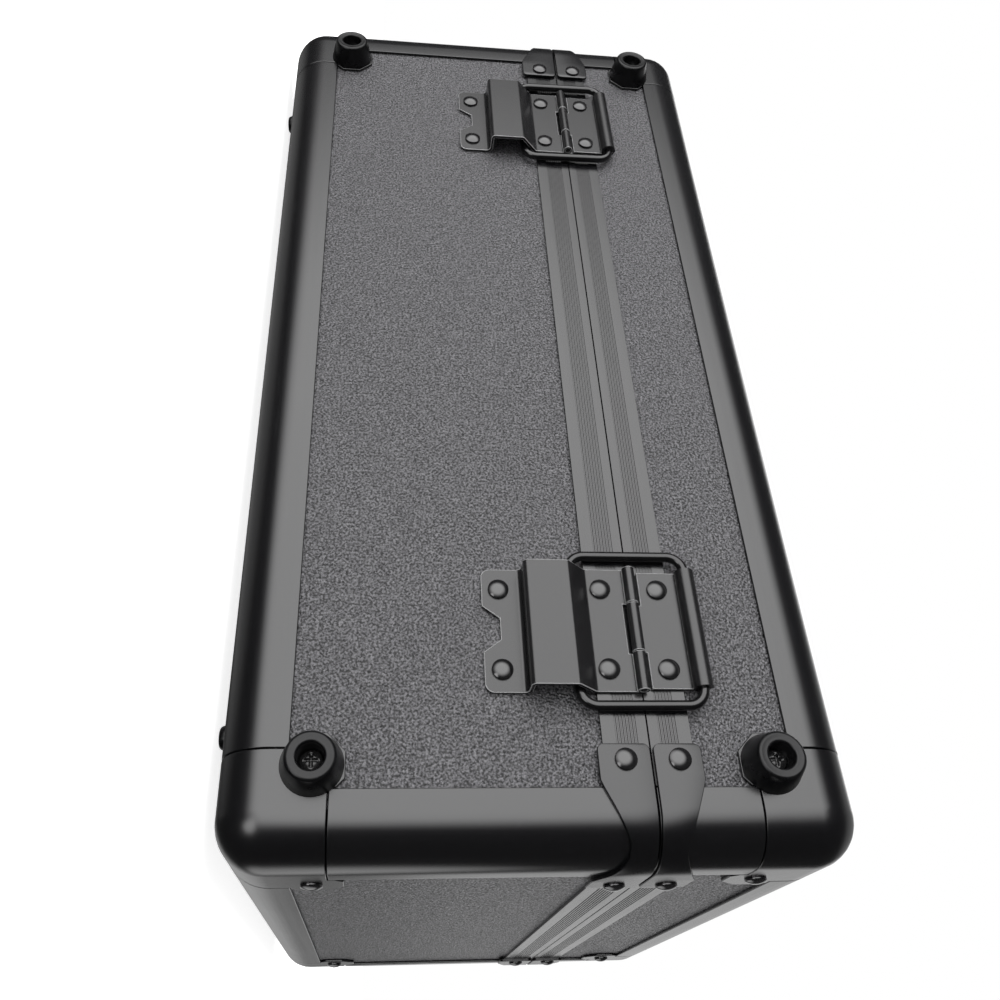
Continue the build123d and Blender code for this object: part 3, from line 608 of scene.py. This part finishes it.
def rubber_finish():
    """Black rubber with a dull gloss and a little dust in its grain."""
    material, tree, shader, place = finish("Foot rubber")
    grain = grouped(tree, "Pebble grain", place, 2600.0, 0.6)
    smudge = grouped(tree, "Handling", place, 120.0)["Smudge"]
    base = blended(tree, grain["Fleck"], (0.002, 0.002, 0.0025), (0.005, 0.005, 0.0055))
    feed(tree, shader, {
        "Base Color": blended(tree, ranged(tree, smudge, 0.0, 0.04), base, (0.05, 0.05, 0.052)),
        "Roughness": ranged(tree, smudge, 0.26, 0.34),
        "Normal": bumped(tree, grain["Height"], 0.02 * MM, 0.5),
        "IOR": 1.33,
    })
    return material


def foam_finish(colour):
    """Charcoal sponge foam with open cells, its colour darkened by the cells' height as painted
    shade.
    """
    material, tree, shader, place = finish("Sponge foam")
    cells = grouped(tree, "Foam cells", place, 1100.0)
    base = blended(tree, cells["Mottle"], tinted(colour, 0.7), tinted(colour, 1.6))
    # Painted shade: the colour darkens with the cells' height pattern.
    depth = ranged(tree, cells["Height"], 0.0, 0.8)
    feed(tree, shader, {
        "Base Color": blended(tree, depth, base, tinted(colour, 0.35)),
        "Roughness": ranged(tree, cells["Mottle"], 0.85, 1.0),
        "Normal": bumped(tree, cells["Height"], 0.35 * MM, 0.7),
    })
    return material


def lock_finish():
    """Bright nickel of the key plug, with turned rings too fine to count."""
    material, tree, shader, place = finish("Lock nickel")
    smudge = grouped(tree, "Handling", place, 200.0)["Smudge"]
    lines = grouped(tree, "Drawn lines", place, 2600.0)["Lines"]
    feed(tree, shader, {
        "Base Color": blended(tree, smudge, (0.42, 0.41, 0.4), (0.56, 0.55, 0.53)),
        "Roughness": ranged(tree, lines, 0.2, 0.36),
        "Normal": bumped(tree, lines, 0.01 * MM, 0.5),
        "Metallic": 1.0,
    })
    return material


# Operators, one for each piece or group of like pieces


class CARDCASE_OT_boards(bpy.types.Operator):
    """Skin the board panels of both halves"""

    bl_idname = "card_case.boards"
    bl_label = "Board panels"

    def execute(self, context):
        skin = board_skin(context.scene.card_case_colours)
        upright = [f"{half}_{side}" for half in HALVES for side in UPRIGHT_SIDES]
        for board in (*upright, "base_bottom", "lid_top"):
            for slot in frame["nodes"][f"{board}_panel"].material_slots:
                slot.material = skin
        return {"FINISHED"}


class CARDCASE_OT_extrusions(bpy.types.Operator):
    """Dress the edge extrusions, corner posts and closing frames"""

    bl_idname = "card_case.extrusions"
    bl_label = "Extrusions"

    def execute(self, context):
        sizes, colours = context.scene.card_case_sizes, context.scene.card_case_colours
        along_x = extrusion_finish("Extrusion along x", colours.extrusion, (0.01, 1.0, 1.0))
        along_y = extrusion_finish("Extrusion along y", colours.extrusion, (1.0, 0.01, 1.0))
        upright = extrusion_finish("Upright extrusion", colours.extrusion, (1.0, 1.0, 0.01))
        level = extrusion_finish("Closing extrusion", colours.extrusion, (0.05, 0.05, 1.0))
        for half in HALVES:
            for side in UPRIGHT_SIDES:
                finish_used = along_x if side in ("front", "back") else along_y
                softened(f"{half}_{side}_edge", sizes.moulding_rounding, finish_used)
            softened(f"{half}_corner_posts", sizes.moulding_rounding, upright)
            softened(f"{half}_closing_frame", RIB_ROUNDING, level, 1)
        return {"FINISHED"}


class CARDCASE_OT_corners(bpy.types.Operator):
    """Dress the moulded corner pieces and draw the split brackets"""

    bl_idname = "card_case.corners"
    bl_label = "Corners"

    def execute(self, context):
        sizes, colours = context.scene.card_case_sizes, context.scene.card_case_colours
        black = colours.moulding
        moulding = moulding_finish("Corner moulding", black, 0.24, 0.004 * MM, 0.05 * MM)
        sheet = moulding_finish("Bracket plastic", black, 0.26, 0.004 * MM, 0.02 * MM, 1.53)
        for half in HALVES:
            softened(f"{half}_corner_pieces", sizes.moulding_rounding, moulding)
            self.brackets(half, sheet)
        return {"FINISHED"}

    def brackets(self, half, sheet):
        """Sheets wrapped round the corner posts beside the split. The path runs along one face,
        round an arc and along the other. The section is the sheet's thickness by a height that
        grows in a straight line from the waist, at BRACKET_TAPER[0] from the corner, to the whole
        at [1]."""
        name = f"{half}_split_brackets"
        low, high = solid_boxes(name)
        reach, tall = (high - low)[0][0] - BRACKET_SHEET, (high - low)[0][2]
        tip = reach - BRACKET_TIP * (1 - np.sin(np.linspace(0, np.pi / 2, 7)))
        leg = np.concatenate([tip, np.linspace(reach - 3 * MM, BRACKET_BEND, 9)])
        leg = np.sort(leg)[::-1]
        arc = np.cos(np.radians(np.linspace(-90, -180, 24)))[1:-1]
        # One coordinate along the path. The other goes through the same values backwards.
        path = np.concatenate([leg, BRACKET_BEND + BRACKET_BEND * arc, np.zeros_like(leg)])
        normal = np.concatenate([np.zeros_like(leg), arc, -np.ones_like(leg)])
        far = np.maximum(path, path[::-1])
        start, end = BRACKET_TAPER
        share = np.clip((far - start) / (end - start), 0, 1)
        top = BRACKET_WAIST + (tall - BRACKET_WAIST) * share
        past = np.clip(far - (reach - BRACKET_TIP), 0, BRACKET_TIP)
        trim = BRACKET_TIP - np.sqrt(BRACKET_TIP**2 - past**2)
        turn, rim = np.linspace(0, np.pi / 2, 4), BRACKET_RIM
        inset = np.concatenate([[0.0], rim - rim * np.cos(turn)])
        out = np.concatenate([[0.02 * MM], BRACKET_SHEET - rim + rim * np.sin(turn)])
        edges = [trim[:, None] + inset, (top - trim)[:, None] - inset[::-1]]
        a = path[:, None] + normal[:, None] * np.concatenate([out, out[::-1]])
        strip = closed_ends(np.stack([a, a[::-1], np.concatenate(edges, axis=1)], axis=-1))
        sign = np.sign((low + high)[:, :2] / 2 - middle[:2])
        outer = np.where(sign > 0, high[:, :2], low[:, :2]) - sign * BRACKET_SHEET
        up, split = (-1.0, high[:, 2]) if half == "base" else (1.0, low[:, 2])
        origin = np.column_stack([outer, split])[:, None, None]
        toward = np.column_stack([-sign, np.full(len(sign), up)])[:, None, None]
        piece_from_surface(f"{name}_bent", origin + toward * strip, sheet, half, [name], sharp=60)


class CARDCASE_OT_hinges(bpy.types.Operator):
    """Dress the hinge plates, leaves and pins, and close the leaves' curls"""

    bl_idname = "card_case.hinges"
    bl_label = "Hinges"

    def execute(self, context):
        sizes, colours = context.scene.card_case_sizes, context.scene.card_case_colours
        metal = hardware_finish("Blacked steel", colours.hardware, 0.26)
        # The cut edges' light grey finish is partly bare steel and partly a painted highlight.
        edge = hardware_finish("Cut steel edge with painted highlight", colours.wear_and_highlight, 0.3)
        for name in ("hinge_plates", "hinge_leaves"):
            softened(name, sizes.sheet_rounding, metal, edge_material=edge)
        softened("hinge_pins", sizes.sheet_rounding, metal)
        self.curls(sizes.wire_radius, metal)
        return {"FINISHED"}

    def curls(self, wire, metal):
        """The lid leaves' curls over the ring wire: a flat bar of four corners carried round the
        ring's upper leg from angle 170 to 450, each end closed to the bar's middle."""
        low, high = solid_boxes("hinge_leaves")
        ring_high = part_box("stay_ring_left")[1]
        centre = (ring_high[1] - wire, ring_high[2] - wire)
        outside, inside = (
            np.stack(arc_points(centre, wire + gap, 170, 450, 40), axis=-1) for gap in CURL_GAPS
        )
        section = np.stack([outside, outside, inside, inside], axis=1)
        half = (high[:, 0] - low[:, 0]) / 2 + CURL_OVERLAP
        x = (low[:, 0] + high[:, 0])[:, None] / 2 + half[:, None] * np.array([-1, 1, 1, -1])
        grid = (len(half), *section.shape[:2])
        x = np.broadcast_to(x[:, None, :, None], (*grid, 1))
        bar = np.concatenate([x, np.broadcast_to(section, (*grid, 2))], axis=-1)
        piece_from_surface("lid_curls", closed_ends(bar), metal, "lid", [], sharp=50)


class CARDCASE_OT_stay_rings(bpy.types.Operator):
    """Draw the two stay rings as round wire with bent corners"""

    bl_idname = "card_case.stay_rings"
    bl_label = "Stay rings"

    def execute(self, context):
        sizes, colours = context.scene.card_case_sizes, context.scene.card_case_colours
        metal = hardware_finish("Ring wire", tinted(colours.hardware, 0.5), 0.16)
        wire = sizes.wire_radius
        for side in ("left", "right"):
            name = f"stay_ring_{side}"
            low, high = (np.array(corner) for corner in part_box(name))
            width, lean, drop = high - low - 2 * wire
            reach = np.hypot(drop, lean)
            along = np.array([0.0, lean / reach, drop / reach])
            across = np.array([1.0, 0.0, 0.0])
            up = np.cross(across, along)
            top = np.array([(low[0] + high[0]) / 2, high[1] - wire, high[2] - wire])
            loop, outward = rounded_loop(width, reach, sizes.ring_bend, 9)
            turn = np.linspace(0, 2 * np.pi, 20, endpoint=False)[:, None]
            centre = top + loop[:, :1] * across + loop[:, 1:] * along
            out = outward[:, :1] * across + outward[:, 1:] * along
            points = centre[:, None] + wire * np.cos(turn) * out[:, None] + wire * np.sin(turn) * up
            piece_from_surface(
                f"stay_ring_wire_{side}", points[None], metal, body_of_node[name], [name],
                close_rows=True,
            )
        return {"FINISHED"}


class CARDCASE_OT_rivets(bpy.types.Operator):
    """Draw the domed rivet heads over the frame's plain ones"""

    bl_idname = "card_case.rivets"
    bl_label = "Rivets"

    def execute(self, context):
        sizes, colours = context.scene.card_case_sizes, context.scene.card_case_colours
        metal = hardware_finish("Rivet steel", colours.hardware, 0.13, 1.62)
        for half in HALVES:
            name = f"{half}_rivets"
            foot, frames, size = seats(name)
            height, radius = size.min(), size.max() / 2 * RIVET_WIDTH
            # h = rim + (height - rim) (1 - (r / radius)^crown), standing on a straight rim.
            share = np.sin(np.linspace(0, np.pi / 2, 8))
            rim = RIVET_RIM * height
            crown = rim + (height - rim) * (1 - share**sizes.rivet_crown)
            head = turned_profile(
                [radius * share, radius, radius, 0.0], [crown, 0.05 * height, 0.0, 0.0], 20
            )
            seated_piece(f"{half}_rivet_heads", foot, frames, head, metal, half, [name])
        return {"FINISHED"}


class CARDCASE_OT_feet(bpy.types.Operator):
    """Draw the rubber feet with their screws, and the studs under the bottom"""

    bl_idname = "card_case.feet"
    bl_label = "Feet"

    def execute(self, context):
        sizes, colours = context.scene.card_case_sizes, context.scene.card_case_colours
        rubber = rubber_finish()
        metal = hardware_finish("Screw steel", tinted(colours.hardware, 0.6), 0.24, 1.5)
        for half in HALVES:
            self.rubber_feet(half, sizes.foot_rounding, rubber)
            self.screws(half, metal)
        self.studs(rubber)
        return {"FINISHED"}

    def rubber_feet(self, half, bend, rubber):
        """Feet with a rounded upper rim, and a rounded lip round the screw's hole."""
        foot, frames, size = seats(f"{half}_back_feet")
        wide, tall = size[0][0] / 2, size[0][1]
        crown, hole, lip = wide - 1.8 * MM, 3.9 * MM, 0.9 * MM
        rim_r, rim_h = arc_points((crown - bend, tall - bend), bend, 10, 90, 7)
        lip_r, lip_h = arc_points((hole + lip, tall - 1.0 * MM), lip, 90, 180, 6)
        step = 0.25 * MM
        shape = turned_profile(
            [0.0, wide - 0.1 * MM, wide, rim_r, hole + 1.6 * MM, lip_r, hole, 0.0],
            [0.0, 0.0, step, rim_h, tall - step, lip_h, SCREW_SEAT, SCREW_SEAT],
            48,
        )
        name = f"{half}_rubber_feet"
        seated_piece(name, foot, frames, shape, rubber, half, [f"{half}_back_feet"])

    def screws(self, half, metal):
        """Pan heads with a cross recess: the dome h (1 - 0.7 (r / R)^2.4) less a cross whose arms
        fade out towards the rim."""
        foot, frames, _ = seats(f"{half}_back_feet")
        radius, height, recess, arm_width = 3.2 * MM, 1.8 * MM, 0.75 * MM, 0.55 * MM
        share = np.linspace(0, 1, 12)[:, None]
        angle = np.linspace(0, 2 * np.pi, 48, endpoint=False)
        x = radius * share * np.cos(angle)
        y = radius * share * np.sin(angle)
        dome = height * (0.3 + 0.7 * (1 - share**2.4))
        arm = np.minimum(np.abs(x), np.abs(y))
        cross = np.clip(1 - arm / arm_width, 0, 1) ** 0.5 * np.clip((0.72 - share) * 6, 0, 1)
        head = np.stack([x, y, SCREW_SEAT + dome - recess * cross], axis=-1)
        skirt = turned_profile([radius, 0.0], [SCREW_SEAT, SCREW_SEAT], 48)
        shape = np.concatenate([head, skirt])
        seated_piece(f"{half}_screws", foot, frames, shape, metal, half, [f"{half}_foot_screws"])

    def studs(self, rubber):
        """Low domed studs: a taper with a rounded face."""
        foot, frames, size = seats("bottom_studs")
        wide, tall, bend = size[0][0] / 2, size[0][2], 1.4 * MM
        rim_r, rim_h = arc_points((wide - 3.1 * MM, tall - bend), bend, 12, 90, 7)
        shape = turned_profile([0.0, wide, rim_r, 0.0], [0.0, 0.0, rim_h, tall], 40)
        seated_piece("rubber_studs", foot, frames, shape, rubber, "base", ["bottom_studs"])


class CARDCASE_OT_latches(bpy.types.Operator):
    """Dress the latches, strikes and key plugs"""

    bl_idname = "card_case.latches"
    bl_label = "Latches"

    def execute(self, context):
        sizes, colours = context.scene.card_case_sizes, context.scene.card_case_colours
        metal = hardware_finish("Latch steel", colours.hardware, 0.28)
        nickel = lock_finish()
        softened("latch_plates", sizes.sheet_rounding, metal)
        softened("latch_strikes", sizes.sheet_rounding, metal)
        for side in ("left", "right"):
            softened(f"latch_lever_{side}", sizes.sheet_rounding, metal)
            softened(f"latch_claw_{side}", sizes.sheet_rounding, metal)
            softened(f"lock_plug_{side}", PLUG_ROUNDING, nickel)
        return {"FINISHED"}


class CARDCASE_OT_handle(bpy.types.Operator):
    """Draw the carrying handle and dress its brackets"""

    bl_idname = "card_case.handle"
    bl_label = "Handle"

    def execute(self, context):
        sizes, colours = context.scene.card_case_sizes, context.scene.card_case_colours
        plastic = moulding_finish("Handle plastic", colours.moulding, 0.36, 0.03 * MM, 0.02 * MM)
        metal = hardware_finish("Bracket steel", colours.hardware, 0.3)
        softened("handle_brackets", HANDLE_BRACKET_ROUNDING, metal)
        low, high = (np.array(corner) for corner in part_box("handle_grip"))
        eye, bar, deep, fade = 7.0 * MM, 13.0 * MM, 16.0 * MM, 0.55 * MM
        wide, end_wide, half_grip, bend = 19.0 * MM, 14.5 * MM, 46.0 * MM, 16.0 * MM
        out = (low[1] + high[1]) / 2
        pivot, bottom = high[2] - eye, low[2] + wide / 2
        arm = high[0] - bar / 2
        # The line: beyond the pivot, down the arm, a quarter circle, then along the bar to x = 0.
        cap = np.linspace(0, np.pi / 2, 7)
        arm_z = np.linspace(pivot, bottom + bend, 5)[1:]
        turn = np.linspace(0, np.pi / 2, 12)[1:]
        coarse = np.linspace(arm - bend, half_grip + 3 * MM, 3)[1:]
        bar_x = np.hstack([coarse, np.linspace(half_grip + 2 * MM, 0, 30)])
        upright, along = len(cap) + len(arm_z), np.ones_like(bar_x)
        line_x = np.hstack([np.full(upright, arm), arm - bend + bend * np.cos(turn), bar_x])
        cap_z, turn_z = pivot + (bar / 2) * np.cos(cap), bottom + bend - bend * np.sin(turn)
        line_z = np.hstack([cap_z, arm_z, turn_z, bottom * along])
        heading = np.hstack([np.zeros(upright), turn, np.pi / 2 * along])
        # Section widths: the cap closes as a half circle, and the grip swells between its ends.
        swell = np.clip(1 - (bar_x / half_grip) ** 2, 0, 1)
        grip = end_wide / 2 + (wide - end_wide) / 2 * swell
        on_grip = 1 / (1 + np.exp((bar_x - half_grip) / fade))
        arms = np.full(len(arm_z) + len(turn), bar / 2)
        across = np.hstack([(bar / 2) * np.sin(cap), arms, bar / 2 + (grip - bar / 2) * on_grip])
        thick = bar / 2 + (deep - bar) / 2 * on_grip
        through = np.hstack([np.full_like(cap, bar / 2), arms, thick])
        # The other half, from x = 0 back up to its own pivot.
        line_x, line_z, heading, across, through = (
            np.hstack([values, other[-2::-1]])
            for values, other in (
                (line_x, -line_x), (line_z, line_z), (heading, np.pi - heading),
                (across, across), (through, through),
            )
        )
        side = np.stack([np.cos(heading), np.zeros_like(heading), -np.sin(heading)], axis=-1)
        angle = np.linspace(0, 2 * np.pi, sizes.grip_sides, endpoint=False)
        # A rounded square section: each coordinate is the signed power 0.62 of its circle's.
        circle = np.stack([np.cos(angle), np.sin(angle)])
        u, v = np.sign(circle) * np.abs(circle) ** 0.62
        centre = np.stack([line_x, np.full_like(line_x, out), line_z], axis=-1)
        points = centre[:, None, :] + across[:, None, None] * u[None, :, None] * side[:, None, :]
        points[..., 1] += through[:, None] * v[None, :]
        piece_from_surface(
            "carrying_handle", closed_ends(points)[None], plastic, body_of_node["handle_grip"],
            ["handle_grip"],
        )
        return {"FINISHED"}


class CARDCASE_OT_foam(bpy.types.Operator):
    """Draw the foam floor, the slab rows and the lid pad"""

    bl_idname = "card_case.foam"
    bl_label = "Foam"

    def execute(self, context):
        foam = foam_finish(context.scene.card_case_colours.foam)
        for name in ("base_foam_floor", "base_foam_rows", "lid_foam_pad"):
            pad = softened(name, FOAM_ROUNDING, foam, 3)
        return {"FINISHED"}


class CARDCASE_OT_stage(bpy.types.Operator):
    """Make the floor, the tent, the backdrop, the lamps and the camera"""

    bl_idname = "card_case.stage"
    bl_label = "Stage"

    def execute(self, context):
        self.floor()
        self.tent()
        self.surroundings(context.scene)
        self.lights()
        self.camera(context.scene)
        context.scene.view_settings.view_transform = "Standard"
        return {"FINISHED"}

    def floor(self):
        """A wide sheet under the case that reads white where the case does not shade it. The glow
        is for the camera, and the sheet stays out of reflections."""
        reach = 6.0
        corners = [(-reach, -reach, 0), (reach, -reach, 0), (reach, reach, 0), (-reach, reach, 0)]
        mesh = bpy.data.meshes.new("studio_floor")
        mesh.from_pydata(corners, [], [(0, 1, 2, 3)])
        sheet = linked("studio_floor", mesh)
        material, tree, shader, _ = finish("Studio white")
        white = {"Base Color": (0.86, 0.86, 0.86, 1.0), "Roughness": 0.9, "Specular IOR Level": 0.1}
        feed(tree, shader, white)
        glow = node(tree, "ShaderNodeEmission", {"Color": WHITE, "Strength": 0.82})
        lit = node(tree, "ShaderNodeAddShader", {0: shader, 1: glow})
        chosen = node(tree, "ShaderNodeMixShader", {0: seen_directly(tree), 1: shader, 2: lit})
        feed(tree, tree.nodes["Material Output"], {"Surface": chosen})
        mesh.materials.append(material)
        sheet.visible_glossy = False

    def tent(self):
        """What the case reflects: a round tent of dark cloth, seen in reflections only, with bright
        openings. Its points are radius (cos e cos a, cos e sin a, sin e)."""
        height = np.linspace(-np.pi / 2, np.pi / 2, 25)
        points = turned_profile([TENT_RADIUS * np.cos(height)], [TENT_RADIUS * np.sin(height)], 48)
        mesh = bpy.data.meshes.new("studio_tent")
        quads = lattice_quads(1, *points.shape[:2])
        mesh.from_pydata(points.reshape(-1, 3).tolist(), [], quads.tolist())
        cloth = linked("studio_tent", mesh)
        material, tree, _, place = finish("Studio tent")
        facing = node(tree, "ShaderNodeVectorMath", {0: place}, operation="NORMALIZE")
        total = TENT_CLOTH
        for direction, inner, outer, strength in TENT_OPENINGS:
            toward = tuple(Vector(direction).normalized())
            near = node(
                tree, "ShaderNodeVectorMath", {0: facing, 1: toward}, operation="DOT_PRODUCT"
            )
            opening = node(
                tree, "ShaderNodeMapRange",
                {
                    "Value": near.outputs["Value"],
                    "From Min": cos(radians(outer)),
                    "From Max": cos(radians(inner)),
                    "To Max": strength,
                },
                interpolation_type="SMOOTHSTEP",
            )
            total = maths(tree, "ADD", total, opening)
        glow = node(tree, "ShaderNodeEmission", {"Strength": total})
        feed(tree, tree.nodes["Material Output"], {"Surface": glow})
        mesh.materials.append(material)
        cloth.visible_camera = cloth.visible_diffuse = cloth.visible_transmission = False
        cloth.visible_shadow = False

    def surroundings(self, scene):
        """A white backdrop to the camera, and a softer grey as light. Reflections meet the tent."""
        world = bpy.data.worlds.new("Studio")
        world.use_nodes = True
        scene.world = world
        tree = world.node_tree
        ground = tree.nodes["Background"]
        feed(tree, ground, {"Color": WHITE, "Strength": 0.35})
        white = node(tree, "ShaderNodeBackground", {"Color": WHITE, "Strength": 1.0})
        mix = node(tree, "ShaderNodeMixShader", {0: seen_directly(tree), 1: ground, 2: white})
        feed(tree, tree.nodes["World Output"], {"Surface": mix})

    def lights(self):
        """A broad box off the hinge side's far end, and weaker ones for the other sides."""
        lamp("Key box", (0.75, 1.25, 0.35), (0.0, 0.13, 0.1), (1.7, 1.5), 30.0)
        lamp("End fill", (-1.3, -0.7, 0.3), (-0.2, 0.0, 0.1), (0.9, 0.8), 3.5)
        lamp("Front fill", (0.5, -1.5, 0.9), (0.0, -0.1, 0.1), (1.2, 1.0), 11.0)
        lamp("Top fill", (0.0, 0.1, 1.7), (0.0, 0.0, 0.1), (1.3, 1.3), 9.0)

    def camera(self, scene):
        """The photograph's viewpoint: close to the back's near end, looking along the case."""
        data = bpy.data.cameras.new("Photo camera")
        data.sensor_width = 36.0
        data.lens = 32.19
        data.shift_x, data.shift_y = 0.03865, 0.04129
        data.clip_start = 0.01
        camera = linked("Photo camera", data)
        turn = Quaternion((-0.58978787, 0.37098406, 0.63888316, 0.32611256))
        camera.matrix_world = Matrix.LocRotScale(Vector((-0.24845, 0.39074, 0.04856)), turn, None)
        scene.camera = camera


def seen_directly(tree):
    """1 for rays of the camera, reflections and transmission, 0 for the rest."""
    path = node(tree, "ShaderNodeLightPath").outputs
    mirror = maths(tree, "MAXIMUM", path["Is Camera Ray"], path["Is Glossy Ray"])
    return maths(tree, "MAXIMUM", mirror, path["Is Transmission Ray"])


def lamp(name, place, target, size, power):
    """A soft rectangular lamp at a place, turned to a target, unseen by the camera and in
    reflections."""
    data = bpy.data.lights.new(name, "AREA")
    data.shape = "RECTANGLE"
    data.size, data.size_y = size
    data.energy = power
    light = linked(name, data)
    turn = (Vector(target) - Vector(place)).to_track_quat("-Z", "Y")
    light.matrix_world = Matrix.LocRotScale(Vector(place), turn, None)
    light.visible_camera = light.visible_glossy = False


STEPS = (
    CARDCASE_OT_boards,
    CARDCASE_OT_extrusions,
    CARDCASE_OT_corners,
    CARDCASE_OT_hinges,
    CARDCASE_OT_stay_rings,
    CARDCASE_OT_rivets,
    CARDCASE_OT_feet,
    CARDCASE_OT_latches,
    CARDCASE_OT_handle,
    CARDCASE_OT_foam,
    CARDCASE_OT_stage,
)


class CARDCASE_PT_panel(bpy.types.Panel):
    """Lists the steps that dress the case"""

    bl_idname = "CARDCASE_PT_panel"
    bl_label = "Card case"
    bl_space_type = "VIEW_3D"
    bl_region_type = "UI"
    bl_category = "Card case"

    def draw(self, context):
        layout = self.layout
        for settings in (context.scene.card_case_sizes, context.scene.card_case_colours):
            column = layout.column()
            for name in settings.__annotations__:
                column.prop(settings, name)
        for step in STEPS:
            layout.operator(step.bl_idname)


def register():
    for item in (CardCaseSizes, CardCaseColours, *STEPS, CARDCASE_PT_panel):
        bpy.utils.register_class(item)
    bpy.types.Scene.card_case_sizes = PointerProperty(type=CardCaseSizes)
    bpy.types.Scene.card_case_colours = PointerProperty(type=CardCaseColours)


def unregister():
    del bpy.types.Scene.card_case_colours
    del bpy.types.Scene.card_case_sizes
    for item in (CARDCASE_PT_panel, *reversed(STEPS), CardCaseColours, CardCaseSizes):
        bpy.utils.unregister_class(item)


def main():
    register()
    for step in STEPS:
        group, name = step.bl_idname.split(".")
        getattr(getattr(bpy.ops, group), name)()


if __name__ == "__main__":
    main()
